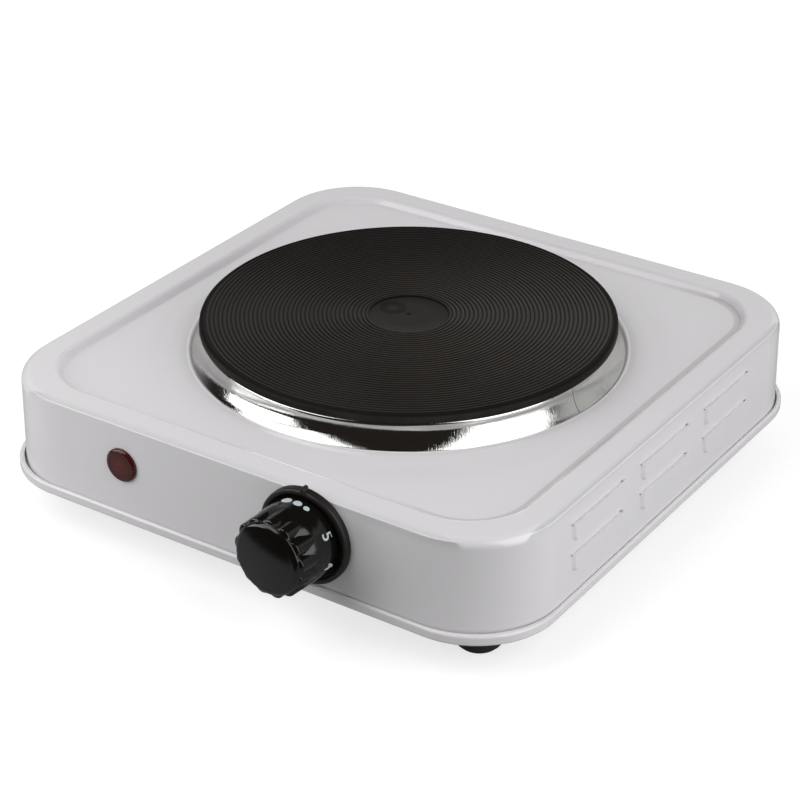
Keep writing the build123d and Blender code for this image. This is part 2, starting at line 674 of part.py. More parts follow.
with BuildPart() as fixed_blade:
    with BuildSketch(behind(FIXED_DEPTH + FIXED_T)):
        with Locations((BLADE_TIP, 0)):
            Rectangle(BLADE_TIP - STACK_X + STACK_R, BLADE_W, align=(Align.MAX, Align.CENTER))
            Rectangle(BLADE_TIP - TAB_END, TAB_W, align=(Align.MAX, Align.CENTER))
        with Locations((STACK_X, 0)):
            Circle(STACK_SCREW_R, mode=Mode.SUBTRACT)
    extrude(amount=FIXED_T)
    with BuildSketch(behind(FIXED_DEPTH)):
        with Locations((RIVET_X, 0)):
            Circle(RIVET_R)
    extrude(amount=(FIXED_DEPTH - CONTACT_DEPTH - CONTACT_T) / 2)
    with Locations(behind(FIXED_DEPTH + FIXED_T / 2)):
        with Locations(Location((TAB_END - CRIMP_L / 2, 0, 0), (0, 90, 0))):
            Cylinder(CRIMP_R, CRIMP_L)
keep(fixed_blade, "fixed_blade")

with BuildPart() as bimetal_blade:
    with BuildSketch(behind(BIMETAL_DEPTH + BIMETAL_T)):
        with Locations((BLADE_TIP, 0)):
            Rectangle(BLADE_TIP - STACK_X + STACK_R, BLADE_W, align=(Align.MAX, Align.CENTER))
        with Locations((STACK_X, 0)):
            Circle(STACK_SCREW_R, mode=Mode.SUBTRACT)
    extrude(amount=BIMETAL_T)
keep(bimetal_blade, "bimetal_blade")

with BuildPart() as stack_spacers:
    for front, back in (
        (BRACKET_BACK, CONTACT_DEPTH),
        (CONTACT_DEPTH + CONTACT_T, FIXED_DEPTH),
        (FIXED_DEPTH + FIXED_T, BIMETAL_DEPTH),
    ):
        with BuildSketch(behind(back)):
            with Locations((STACK_X, 0)):
                Circle(STACK_R)
                Circle(STACK_SCREW_R, mode=Mode.SUBTRACT)
        extrude(amount=back - front)
keep(stack_spacers, "stack_spacers")

with BuildPart() as stack_screw:
    with BuildSketch(behind(BIMETAL_DEPTH + BIMETAL_T)):
        with Locations((STACK_X, 0)):
            Circle(STACK_SCREW_R - FIT)
    extrude(amount=BIMETAL_DEPTH + BIMETAL_T - SHEET - 2 * FIT)
    with BuildSketch(behind(BIMETAL_DEPTH + BIMETAL_T)):
        with Locations((STACK_X, 0)):
            Circle(2 * STACK_SCREW_R)
    extrude(amount=-STACK_SCREW_R)
keep(stack_screw, "stack_screw")

# ------------------------------------------------------------------ knob
# Thirteen rounded lobes stand round the grip; the skirt behind them carries the dial.
KNOB_BACK = 2.4
SKIRT_R = 14.2
SKIRT_FRONT_R = 14.0
SKIRT_T = 1.7
GRIP_START = 9.6
GRIP_END = 20.8
GRIP_END_R = 13.5
CROWN_R = 12.2
CROWN_START = 21.8
CROWN_TOP = 22.8
HUB_R = 5.5
LOBES = 13
LOBE_R = 2.9
LOBE_AT = 11.1
VALLEY_R = 12.3
POCKET_R = 10.3
POCKET_FRONT = 19.6
CLIP_T = 0.6
CLIP_L = 4.0
CLIP_FRONT = 7.6
CLIP_GAP = 3.0

with BuildPart() as knob:
    with BuildSketch(profile_plane(KNOB_X, WALL_Y, KNOB_Z)):
        with BuildLine():
            TangentArc((0, CROWN_TOP), (CROWN_R, CROWN_START), tangent=(1, 0))
            Polyline(
                (CROWN_R, CROWN_START),
                (GRIP_END_R, GRIP_END),
                (SKIRT_FRONT_R, GRIP_START),
                (SKIRT_R, KNOB_BACK + 0.3),
                (SKIRT_R - 0.3, KNOB_BACK),
                (SKIRT_R - SKIRT_T, KNOB_BACK),
                (SKIRT_R - SKIRT_T, GRIP_START - SKIRT_T),
                (POCKET_R, GRIP_START - SKIRT_T),
                (POCKET_R, POCKET_FRONT),
                (HUB_R, POCKET_FRONT),
                (HUB_R, KNOB_HUB_BACK),
                (0, KNOB_HUB_BACK),
                (0, CROWN_TOP),
            )
        make_face()
    revolve(axis=front_axis(KNOB_X, KNOB_Z))
    # valleys between the lobes
    with BuildSketch(behind(-GRIP_START)):
        Circle(SKIRT_R + 1)
        with PolarLocations(LOBE_AT, LOBES, 90):
            Circle(LOBE_R, mode=Mode.SUBTRACT)
        Circle(VALLEY_R, mode=Mode.SUBTRACT)
    extrude(amount=CROWN_TOP - GRIP_START, mode=Mode.SUBTRACT)
    # bore with a flat, for the spindle
    with BuildSketch(behind(-KNOB_HUB_BACK)):
        Circle(SPINDLE_R + FIT)
        with Locations((0, SPINDLE_FLAT + FIT + SPINDLE_R)):
            Rectangle(3 * SPINDLE_R, 2 * SPINDLE_R, mode=Mode.SUBTRACT)
    extrude(amount=SPINDLE_FRONT + 0.2 - KNOB_HUB_BACK, mode=Mode.SUBTRACT)
keep(knob, "knob")

with BuildPart() as knob_spring_clip:
    with BuildSketch(behind(-CLIP_FRONT)):
        Circle(HUB_R + FIT + CLIP_T)
        Circle(HUB_R + FIT, mode=Mode.SUBTRACT)
        with Locations((0, -HUB_R)):
            Rectangle(CLIP_GAP, HUB_R, mode=Mode.SUBTRACT)
    extrude(amount=-CLIP_L)
keep(knob_spring_clip, "knob_spring_clip")

# ------------------------------------------------------------------ pilot lamp
LENS_R = 6.43
LENS_OUT = 1.6
BARREL_R = 4.9
BARREL_BACK = 9.0
BARREL_BORE_R = 3.9
BARREL_BORE_FRONT = 0.3
BULB_R = 2.2
BULB_FRONT = 0.8
BASE_FRONT = 7.0
BASE_BACK = 11.0
NUT_RING_R = 8.0
NUT_RING_BACK = 2.3

with BuildPart() as lamp_lens:
    with BuildSketch(profile_plane(LAMP_X, LAMP_Y, LAMP_Z)):
        with BuildLine():
            Polyline((0, LENS_OUT), (0, -1), (LENS_R, -1), (LENS_R, LENS_OUT - 0.9))
            SagittaArc((LENS_R, LENS_OUT - 0.9), (LENS_R - 1, LENS_OUT - 0.2), -0.15)
            Line((LENS_R - 1, LENS_OUT - 0.2), (0, LENS_OUT))
        make_face()
    revolve(axis=front_axis(LAMP_X, LAMP_Z))
    split(bisect_by=FRONT_WALL, keep=Keep.TOP)
    with BuildSketch(facing_front(LAMP_X, LAMP_Y + BARREL_BACK, LAMP_Z)):
        Circle(BARREL_R)
    extrude(amount=BARREL_BACK + BARREL_BORE_FRONT)
    with BuildSketch(facing_front(LAMP_X, LAMP_Y + BARREL_BACK, LAMP_Z)):
        Circle(BARREL_BORE_R)
    extrude(amount=BARREL_BACK + BARREL_BORE_FRONT, mode=Mode.SUBTRACT)
keep(lamp_lens, "lamp_lens")

with BuildPart() as lamp_bulb:
    with BuildSketch(facing_front(LAMP_X, LAMP_Y + BASE_BACK, LAMP_Z)):
        Circle(BARREL_BORE_R - FIT)
    extrude(amount=BASE_BACK - BASE_FRONT)
    with BuildSketch(facing_front(LAMP_X, LAMP_Y + BASE_FRONT, LAMP_Z)):
        Circle(BULB_R)
    extrude(amount=BASE_FRONT - BULB_FRONT)
    fillet(lamp_bulb.edges().sort_by(Axis.Y)[0], radius=1.2)
keep(lamp_bulb, "lamp_bulb")

with BuildPart() as lamp_clip:
    with BuildSketch(facing_front(LAMP_X, LAMP_Y + NUT_RING_BACK, LAMP_Z)):
        Circle(NUT_RING_R)
        Circle(BARREL_R + FIT, mode=Mode.SUBTRACT)
    extrude(amount=NUT_RING_BACK)
    split(bisect_by=FRONT_INSIDE, keep=Keep.BOTTOM)
keep(lamp_clip, "lamp_clip")

# ------------------------------------------------------------------ cord inlet
GLAND_BORE_R = 4.0  # sealing lip round the cord
GLAND_LIP_T = 2.1
GLAND_THROAT_R = 4.8  # wider bore behind the lip
GLAND_FLANGE_R = 9.5
GLAND_FLANGE_T = 2.5
GLAND_BEAD_R = 8.6
GLAND_BEAD_T = 1.8

with BuildPart() as gland_bead:
    with BuildSketch(facing_front(GLAND_X, GLAND_Y - SHEET - GLAND_BEAD_T, GLAND_Z)):
        Circle(GLAND_BEAD_R)
    extrude(amount=-GLAND_BEAD_T - SHEET)
    split(bisect_by=REAR_INSIDE, keep=Keep.BOTTOM)

with BuildPart() as cord_gland:
    with BuildSketch(facing_front(GLAND_X, GLAND_Y + GLAND_FLANGE_T, GLAND_Z)):
        Circle(GLAND_FLANGE_R)
    extrude(amount=GLAND_FLANGE_T + 1)
    chamfer(cord_gland.edges().sort_by(Axis.Y)[-1], length=1.0)
    split(bisect_by=REAR_WALL, keep=Keep.TOP)
    add(gland_bead.part)
    with BuildSketch(facing_front(GLAND_X, GLAND_Y + 1, GLAND_Z)):
        Circle(GLAND_HOLE_R - FIT)
    extrude(amount=SHEET + 2)
    with BuildSketch(facing_front(GLAND_X, GLAND_Y + GLAND_FLANGE_T, GLAND_Z)):
        Circle(GLAND_BORE_R)
    extrude(amount=GLAND_LIP_T, mode=Mode.SUBTRACT)
    with BuildSketch(facing_front(GLAND_X, GLAND_Y + GLAND_FLANGE_T - GLAND_LIP_T, GLAND_Z)):
        Circle(GLAND_THROAT_R)
    extrude(amount=GLAND_LIP_T + SHEET + GLAND_BEAD_T, mode=Mode.SUBTRACT)
keep(cord_gland, "cord_gland")

# ------------------------------------------------------------------ terminal block and earth
BLOCK_L = 36.0
BLOCK_W = 20.0
BLOCK_H = 16.0
BLOCK_BORE_R = 1.8
WIRE_Z = PAN_FLOOR + 6.0
CLAMP_ROW = 10.0
CLAMP_R = 1.45
CLAMP_HEAD_R = 2.5
CLAMP_HEAD_H = 2.0
WELL_H = 4.4
WIRE_R = 1.3
BLOCK_SCREW_TOP = PAN_FLOOR + 5.0
SCREW_FOOT_Z = FOOT_H - 2.0
EARTH_TOP_Z = 26.0
EARTH_NUT_FLATS = 7.0
EARTH_NUT_H = 3.0
EARTH_NUT_Z = WIRE_Z - EARTH_NUT_H / 2
BLOCK_TOP = PAN_FLOOR + BLOCK_H

with BuildPart() as terminal_block:
    with BuildSketch(Plane.XY.offset(PAN_FLOOR)):
        with Locations((BLOCK_X, BLOCK_Y)):
            Rectangle(BLOCK_L, BLOCK_W)
    extrude(amount=BLOCK_H)
    chamfer(terminal_block.edges().filter_by(Axis.Z), length=1.0)
    with BuildSketch(facing_front(BLOCK_X, BLOCK_Y, WIRE_Z)):
        with GridLocations(POLE_PITCH, 1, 3, 1):
            Circle(BLOCK_BORE_R)
    extrude(amount=BLOCK_W, both=True, mode=Mode.SUBTRACT)
    # wells and holes for the clamping screws
    with BuildSketch(Plane.XY.offset(BLOCK_TOP - WELL_H)):
        with Locations((BLOCK_X, BLOCK_Y)):
            with GridLocations(POLE_PITCH, CLAMP_ROW, 3, 2):
                Circle(CLAMP_HEAD_R + FIT)
    extrude(amount=WELL_H, mode=Mode.SUBTRACT)
    with BuildSketch(Plane.XY.offset(WIRE_Z)):
        with Locations((BLOCK_X, BLOCK_Y)):
            with GridLocations(POLE_PITCH, CLAMP_ROW, 3, 2):
                Circle(CLAMP_R + FIT)
    extrude(amount=BLOCK_H - WELL_H, mode=Mode.SUBTRACT)
    with BuildSketch(Plane.XY.offset(PAN_FLOOR)):
        with Locations((BLOCK_X, BLOCK_Y)):
            with GridLocations(POLE_PITCH, 1, 2, 1):
                Circle(BLOCK_SCREW_R + FIT)
    extrude(amount=BLOCK_SCREW_TOP - PAN_FLOOR, mode=Mode.SUBTRACT)
keep(terminal_block, "terminal_block")

with BuildPart() as terminal_screws:
    with BuildSketch(Plane.XY.offset(WIRE_Z + WIRE_R + FIT)):
        with Locations((BLOCK_X, BLOCK_Y)):
            with GridLocations(POLE_PITCH, CLAMP_ROW, 3, 2):
                Circle(CLAMP_R)
    extrude(amount=BLOCK_TOP - WELL_H - WIRE_Z - WIRE_R - FIT)
    with BuildSketch(Plane.XY.offset(BLOCK_TOP - WELL_H)):
        with Locations((BLOCK_X, BLOCK_Y)):
            with GridLocations(POLE_PITCH, CLAMP_ROW, 3, 2):
                Circle(CLAMP_HEAD_R)
    extrude(amount=CLAMP_HEAD_H)
keep(terminal_screws, "terminal_screws")

with BuildPart() as block_screws:
    with Locations((BLOCK_X, BLOCK_Y, SCREW_FOOT_Z)):
        with GridLocations(POLE_PITCH, 1, 2, 1):
            Cylinder(BLOCK_SCREW_R, BLOCK_SCREW_TOP - SCREW_FOOT_Z, align=STANDING)
            Cylinder(2 * BLOCK_SCREW_R, FOOT_H - SCREW_FOOT_Z, align=STANDING)
keep(block_screws, "block_screws")

with BuildPart() as earth_screw:
    with Locations((EARTH_X, BLOCK_Y, SCREW_FOOT_Z)):
        Cylinder(SCREW_R, EARTH_TOP_Z - SCREW_FOOT_Z, align=STANDING)
        Cylinder(SCREW_HEAD_R, FOOT_H - SCREW_FOOT_Z, align=STANDING)
    for nut_z in (PAN_FLOOR, EARTH_NUT_Z):
        with BuildSketch(Plane.XY.offset(nut_z)):
            with Locations((EARTH_X, BLOCK_Y)):
                RegularPolygon(EARTH_NUT_FLATS / 2, 6, major_radius=False)
        extrude(amount=EARTH_NUT_H)
keep(earth_screw, "earth_screw")

# ------------------------------------------------------------------ wiring
# Each wire runs between two terminals in straight runs with rounded bends.
WIRE_BEND_R = 5.0
LEAD_R = 0.8
LEAD_OFFSET = 1.6
LIVE_X = BLOCK_X - POLE_PITCH
EARTH_WIRE_X = BLOCK_X + POLE_PITCH
WIRE_IN_BLOCK = BLOCK_Y - CLAMP_ROW / 2 + 2
TERMINAL_X = TERMINAL_R * math.sin(math.radians(TERMINAL_SPREAD / 2))
CRIMP_X = KNOB_X + TAB_END - CRIMP_L
LIVE_Y = WALL_Y + CONTACT_DEPTH + CONTACT_T / 2
HEATER_Y = WALL_Y + FIXED_DEPTH + FIXED_T / 2
HEATER_Z = PAN_FLOOR + 8.6
PIN_NUT_Z = BUSH_HEAD_Z - PIN_NUT_H / 2
PIN_NUT_FACE = -TERMINAL_X - PIN_NUT_FLATS / 2
LEAD_START = LAMP_Y + BASE_BACK


def run_wire(radius, *corners):
    """Sweep a round wire along filleted corners, in the part being built."""
    with BuildLine() as route:
        FilletPolyline(*corners, radius=WIRE_BEND_R)
    path = route.wire()
    with BuildSketch(Plane(origin=path @ 0, z_dir=path % 0)) as section:
        Circle(radius)
    sweep(section.sketch, path=path)


with BuildPart() as wire_live:
    run_wire(
        WIRE_R,
        (CRIMP_X, LIVE_Y, KNOB_Z),
        (CRIMP_X - 11, LIVE_Y, KNOB_Z),
        (CRIMP_X - 11, LIVE_Y, WIRE_Z),
        (LIVE_X, LIVE_Y + 38, WIRE_Z),
        (LIVE_X, WIRE_IN_BLOCK, WIRE_Z),
    )
keep(wire_live, "wire_live")

with BuildPart() as wire_heater:
    run_wire(
        WIRE_R,
        (CRIMP_X, HEATER_Y, KNOB_Z),
        (CRIMP_X - 6, HEATER_Y, KNOB_Z),
        (CRIMP_X - 6, HEATER_Y, HEATER_Z),
        (TERMINAL_X, HEATER_Y + 34, HEATER_Z),
        (TERMINAL_X, -TERMINAL_X, HEATER_Z),
        (TERMINAL_X, -TERMINAL_X, PIN_FOOT_Z),
    )
keep(wire_heater, "wire_heater")

with BuildPart() as wire_neutral:
    run_wire(
        WIRE_R,
        (BLOCK_X, WIRE_IN_BLOCK, WIRE_Z),
        (BLOCK_X, WIRE_IN_BLOCK - 50, WIRE_Z),
        (-TERMINAL_X, -TERMINAL_X, WIRE_Z),
        (-TERMINAL_X, -TERMINAL_X, PIN_FOOT_Z),
    )
keep(wire_neutral, "wire_neutral")

with BuildPart() as wire_earth:
    run_wire(
        WIRE_R,
        (EARTH_WIRE_X, WIRE_IN_BLOCK, WIRE_Z),
        (EARTH_WIRE_X, BLOCK_Y - BLOCK_W, WIRE_Z),
        (EARTH_X, BLOCK_Y - BLOCK_W, WIRE_Z),
        (EARTH_X, BLOCK_Y - EARTH_NUT_FLATS / 2, WIRE_Z),
    )
keep(wire_earth, "wire_earth")

with BuildPart() as lamp_leads:
    for side in (-1, 1):
        run_wire(
            LEAD_R,
            (LAMP_X + side * LEAD_OFFSET, LEAD_START, LAMP_Z),
            (LAMP_X + side * LEAD_OFFSET, LEAD_START + 10 - 2 * side, LAMP_Z),
            (side * TERMINAL_X, PIN_NUT_FACE - 30, PIN_NUT_Z),
            (side * TERMINAL_X, PIN_NUT_FACE, PIN_NUT_Z),
        )
keep(lamp_leads, "lamp_leads")
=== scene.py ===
import math

import bmesh
import bpy
from mathutils import Matrix, Vector


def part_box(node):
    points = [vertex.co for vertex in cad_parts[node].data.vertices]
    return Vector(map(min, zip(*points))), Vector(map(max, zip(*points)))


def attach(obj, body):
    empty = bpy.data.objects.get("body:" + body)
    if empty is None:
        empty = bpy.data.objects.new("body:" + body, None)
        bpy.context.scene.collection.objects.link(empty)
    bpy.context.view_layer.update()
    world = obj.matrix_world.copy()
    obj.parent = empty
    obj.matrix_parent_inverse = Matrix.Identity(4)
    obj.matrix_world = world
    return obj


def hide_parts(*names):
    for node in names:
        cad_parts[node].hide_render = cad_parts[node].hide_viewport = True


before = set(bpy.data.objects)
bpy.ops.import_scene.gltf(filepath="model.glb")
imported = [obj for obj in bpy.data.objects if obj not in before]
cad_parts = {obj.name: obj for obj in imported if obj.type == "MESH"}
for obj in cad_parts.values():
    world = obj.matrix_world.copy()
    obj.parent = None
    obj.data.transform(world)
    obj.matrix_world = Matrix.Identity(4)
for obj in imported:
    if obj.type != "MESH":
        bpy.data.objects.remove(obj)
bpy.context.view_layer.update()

# Electric hot plate with one cast-iron plate. Metres; the origin is on the table under the
# middle of the housing, +Z is up and the controls face -Y.

MM = 0.001
UP = Vector((0, 0, 1))
CENTRE = (0, 0, 0)


# ---------------------------------------------------------------- shading with expressions
class Signal:
    """A socket's output. Arithmetic on numbers adds the Math nodes that work it out."""

    def __init__(self, nodes, socket):
        self.nodes = nodes
        self.socket = socket

    def math(self, operation, *terms):
        return self.nodes.add("Math", {"operation": operation}, dict(enumerate(terms)))

    def math_of(self, operation, *others):
        """A function of this signal that has no operator, such as a square root."""
        return self.math(operation, self, *others)

    def __add__(self, other):
        return self.math("ADD", self, other)

    def __radd__(self, other):
        return self.math("ADD", other, self)

    def __sub__(self, other):
        return self.math("SUBTRACT", self, other)

    def __rsub__(self, other):
        return self.math("SUBTRACT", other, self)

    def __mul__(self, other):
        return self.math("MULTIPLY", self, other)

    def __rmul__(self, other):
        return self.math("MULTIPLY", other, self)

    def between(self, low, high):
        """0 below low, 1 above high, smooth between them."""
        return self.nodes.add(
            "MapRange",
            {"interpolation_type": "SMOOTHSTEP"},
            {"Value": self, "From Min": low, "From Max": high},
        )


class Nodes:
    """The shader nodes of one material or of the world."""

    def __init__(self, tree):
        tree.nodes.clear()
        self.tree = tree

    def add(self, kind, settings=None, sockets=None, out=None):
        """Add a node: first its settings, then the values or links of its sockets."""
        node = self.tree.nodes.new("ShaderNode" + kind)
        for name, value in (settings or {}).items():
            setattr(node, name, value)
        for name, value in (sockets or {}).items():
            if isinstance(name, int):
                socket = node.inputs[name]
            else:
                socket = next(s for s in node.inputs if s.enabled and s.name == name)
            if isinstance(value, Signal):
                self.tree.links.new(value.socket, socket)
            else:
                socket.default_value = value
        shown = [s for s in node.outputs if s.enabled and out in (None, s.name)]
        return Signal(self, shown[0]) if shown else None

    def place(self):
        """Where the surface is, in the piece's own coordinates."""
        return self.add("TexCoord", out="Object")

    def noise(self, place, scale, detail=3.0, roughness=0.55):
        return self.add(
            "TexNoise",
            None,
            {"Vector": place, "Scale": scale, "Detail": detail, "Roughness": roughness},
            "Fac",
        )

    def mix(self, share, first, second):
        """Blend two colours."""
        return self.add(
            "Mix",
            {"data_type": "RGBA"},
            {"Factor": share, "A": first, "B": second},
            "Result",
        )

    def vector(self, operation, *terms):
        return self.add("VectorMath", {"operation": operation}, dict(enumerate(terms)), "Vector")

    def measure(self, operation, *terms):
        """A number from vectors, such as a length or a dot product."""
        return self.add("VectorMath", {"operation": operation}, dict(enumerate(terms)), "Value")

    def blend(self, share, first, second):
        """Blend two directions."""
        change = self.vector("MULTIPLY", self.vector("SUBTRACT", second, first), share)
        return self.vector("NORMALIZE", self.vector("ADD", first, change))

    def bump(self, height, distance, strength=1.0, under=None):
        sockets = {"Height": height, "Distance": distance, "Strength": strength}
        if under:
            sockets["Normal"] = under
        return self.add("Bump", None, sockets)

    def parts(self, vector):
        """The three numbers of a vector."""
        node = self.add("SeparateXYZ", None, {"Vector": vector}).socket.node
        return [Signal(self, socket) for socket in node.outputs]

    def cylinder(self, place, middle, axis):
        """Turn round an axis (radians), distance from it and depth along it."""
        turned = self.add(
            "Mapping",
            {"vector_type": "TEXTURE"},
            {"Vector": place, "Location": middle, "Rotation": axis},
        )
        across, along, depth = self.parts(turned)
        radius = (across * across + along * along).math_of("SQRT")
        return along.math_of("ARCTAN2", across), radius, depth

    def radius_from(self, place, middle):
        """Distance from an upright axis through a point."""
        level = self.vector("MULTIPLY", self.vector("SUBTRACT", place, middle), (1, 1, 0))
        return self.measure("LENGTH", level)

    def surface(self, sockets):
        """The finished surface, from the sockets of a Principled shader."""
        shader = self.add("BsdfPrincipled", None, sockets)
        self.add("OutputMaterial", None, {"Surface": shader})


def rgb(red, green, blue):
    return (red, green, blue, 1.0)


def new_finish(name):
    material = bpy.data.materials.new(name)
    material.use_nodes = True
    return material, Nodes(material.node_tree)


# ---------------------------------------------------------------- finishes
def enamel_painted_light(n, place, tone):
    """Painted shade on the panel's step and round the ring, and a painted highlight on the lip
    beside it.
    """
    x, y, z = n.parts(place)
    on_panel = z.between(PANEL_Z - 1.0 * MM, PANEL_Z - 0.5 * MM)
    past_corner = n.vector("SUBTRACT", n.vector("ABSOLUTE", place), (PANEL_CORNER, PANEL_CORNER, 1))
    outward = n.measure("LENGTH", n.vector("MAXIMUM", past_corner, CENTRE)) - PANEL_CORNER_R
    on_step = outward.between(-0.2 * MM, 0.5 * MM) * (1 - outward.between(1.4 * MM, 2.6 * MM))
    at_foot = outward.between(-2.2 * MM, -1.5 * MM) * (1 - outward.between(0.5 * MM, 1.0 * MM))
    # Painted shade: the step is coloured darker all round, and the panel at its foot darker along
    # the right side.
    step_shade = on_step * 0.10 + at_foot * x.between(0.05, 0.08) * 0.30
    from_ring = n.radius_from(place, CENTRE)
    near_ring = 1 - from_ring.between(RING_SHADE_FROM, RING_SHADE_TO)
    # Painted shade round the ring's foot, stronger away from the front.
    ring_shade = near_ring * (0.05 + y.between(-0.07, 0.0) * 0.08)
    lip_start = from_ring.between(RING_FOOT_R, RING_FOOT_R + 0.2 * MM)
    lip_end = from_ring.between(RING_FOOT_R + 0.9 * MM, RING_FOOT_R + 1.3 * MM)
    painted_shade_tone = n.mix((step_shade + ring_shade) * on_panel, tone, rgb(0.26, 0.245, 0.245))
    # Painted highlight: the enamel lip just outside the ring's foot is coloured lighter.
    return n.mix(lip_start * (1 - lip_end) * on_panel * 0.85, painted_shade_tone, rgb(0.90, 0.885, 0.895))


def enamel_facing(n, place):
    """The way the sheet faces: its folds look tighter, and its louvres flatter, than they are."""
    x, y, z = n.parts(place)
    facing = n.add("NewGeometry", out="Normal")
    up = n.parts(facing)[2]
    level = n.vector("NORMALIZE", n.vector("MULTIPLY", facing, (1, 1, 0)))
    crisp = n.blend((up * up).between(0.34, 0.62), level, UP)
    furthest = (x * x).math_of("MAXIMUM", y * y)
    on_fold = furthest.between(EDGE_START**2, (EDGE_START + 0.8 * MM) ** 2)
    on_fold = on_fold * z.between(EDGE_FOOT - 0.6 * MM, EDGE_FOOT)
    folded = n.blend(on_fold, facing, crisp)
    sideways = n.add("CombineXYZ", None, {"X": x.math_of("SIGN")})
    outside = (x * x).between((WALL_X - 0.2 * MM) ** 2, (WALL_X + 0.2 * MM) ** 2)
    along = 1 - (y * y).between(LOUVRES_END**2, (LOUVRES_END + 6 * MM) ** 2)
    height = z.between(LOUVRES_FOOT, LOUVRES_FOOT + 2 * MM)
    height = height * (1 - z.between(LOUVRE_TOP_Z + 0.3 * MM, LOUVRE_TOP_Z + 0.9 * MM))
    on_louvre = outside * along * height * (1 - up.between(0.4, 0.7))
    return n.blend(on_louvre * 0.8, folded, sideways)


def enamel():
    """Pale stove enamel: glossy, faintly wavy, with a few pinholes."""
    material, n = new_finish("enamel")
    place = n.place()
    cloud = n.noise(place, 14.0, 2.0)
    wave = n.noise(place, 110.0, 1.0)
    cells = {"Vector": place, "Scale": 70.0}
    hole_reach = n.add("TexVoronoi", {"feature": "F1"}, cells, "Distance")
    hole_cell = n.add("TexVoronoi", {"feature": "F1"}, cells, "Color")
    chosen = n.add("SeparateColor", None, {"Color": hole_cell}, "Red")
    pinhole = (1 - hole_reach.between(0.010, 0.026)) * chosen.between(0.970, 0.975)
    tone = n.mix(cloud, rgb(0.665, 0.648, 0.668), rgb(0.695, 0.682, 0.695))
    wear_and_light_tone = enamel_painted_light(n, place, tone)
    n.surface(
        {
            "Base Color": n.mix(pinhole * 0.7, wear_and_light_tone, rgb(0.12, 0.10, 0.09)),
            "Roughness": 0.16 + cloud * 0.06,
            "Normal": n.bump(wave, 0.00004, 0.25, enamel_facing(n, place)),
            "Specular IOR Level": 0.5,
            "Coat Weight": 0.3,
            "Coat Roughness": 0.06,
        }
    )
    return material


def cast_iron():
    """Dark heat-proof coat on turned cast iron: satin and grainy, with the ridge crests coloured
    lighter as a painted highlight, a painted sheen towards the right and painted shade at the back
    left.
    """
    material, n = new_finish("coated_iron")
    place = n.place()
    x, y, z = n.parts(place)
    cloud = n.noise(place, 35.0, 4.0, 0.6)
    grain = n.noise(place, 2600.0, 3.0, 0.65)
    pits = n.noise(place, 700.0, 2.0)
    patchy = 0.5 + cloud * 0.5
    on_ridge = z.between(PLATE_TOP - 0.26 * MM, PLATE_TOP - 0.03 * MM)
    from_middle = n.radius_from(place, CENTRE)
    rim = from_middle.between(PLATE_R - 2.1 * MM, PLATE_R - 1.5 * MM)
    side = from_middle.between(PLATE_R - 0.5 * MM, PLATE_R - 0.1 * MM)
    in_dish = 1 - from_middle.between(DISH_R - 1.5 * MM, DISH_R - 1.0 * MM)
    from_scorch = n.radius_from(place, SCORCH)
    scorched = from_scorch.between(0.8 * MM, 3.4 * MM)
    scorched = scorched * (1 - from_scorch.between(4.6 * MM, 5.6 * MM))
    # Painted sheen: the crests are lighter round a point to the right; painted shade: they are
    # darker towards the back left.
    right_sheen = 1 - n.radius_from(place, SHEEN_MIDDLE).between(15 * MM, 85 * MM)
    far_shade = (y * 0.83 - x * 0.56).between(15 * MM, 80 * MM)
    dark = n.mix(grain, rgb(0.0022, 0.0018, 0.0015), rgb(0.0052, 0.0043, 0.0037))
    crest = n.mix(right_sheen, rgb(0.0290, 0.0240, 0.0202), rgb(0.0500, 0.0428, 0.0368))
    crest = n.mix(far_shade * 0.75, crest, rgb(0.0095, 0.0078, 0.0064))
    # Painted highlight: the ridge crests are coloured lighter than the grooves.
    coat = n.mix(on_ridge * patchy * (1 - rim), dark, crest)
    coat = n.mix(side * cloud.between(0.3, 0.7), coat, rgb(0.0200, 0.0150, 0.0120))
    coat = n.mix(in_dish * patchy, coat, rgb(0.0190, 0.0160, 0.0138))
    pitted = n.bump(pits.between(0.28, 0.5), 0.00004, 0.3)
    n.surface(
        {
            "Base Color": n.mix(scorched * 0.85, coat, rgb(0.0025, 0.0020, 0.0016)),
            "Roughness": 0.34 + cloud * 0.07 + grain * 0.05 + rim * 0.2,
            "Normal": n.bump(grain, 0.00005, 0.5, pitted),
            "Specular IOR Level": 0.14,
        }
    )
    return material


def chrome():
    """Rolled and plated strip: mirror bright, finely crinkled, dulled beside its seam."""
    material, n = new_finish("chrome")
    place = n.place()
    turn, _, depth = n.cylinder(place, CENTRE, CENTRE)
    across = n.add("CombineXYZ", None, {"X": turn * 60.0, "Y": depth * 90.0, "Z": 0.0})
    crinkle = n.noise(across, 4.0, 3.0, 0.6)
    smear = n.noise(place, 55.0, 4.0, 0.62)
    spots = n.noise(place, 420.0, 2.0)
    past_seam = turn - SEAM_TURN
    beside = past_seam.between(0.0, 0.004) * (1 - past_seam.between(0.05, 0.45))
    dulled = smear.between(0.50, 0.72) * 0.7 + smear.between(0.38, 0.60) * beside * 0.5
    line = 1 - (past_seam * past_seam).between(0.0000012, 0.0000045)
    plating = n.mix(dulled * 0.6, rgb(0.64, 0.64, 0.625), rgb(0.42, 0.425, 0.40))
    n.surface(
        {
            "Base Color": n.mix(line * 0.95, plating, rgb(0.02, 0.018, 0.015)),
            "Metallic": 1.0,
            "Roughness": 0.055 + dulled * 0.12 + spots.between(0.55, 0.75) * 0.05 + line * 0.4,
            "Normal": n.bump(crinkle, 0.0001, 0.30),
        }
    )
    return material


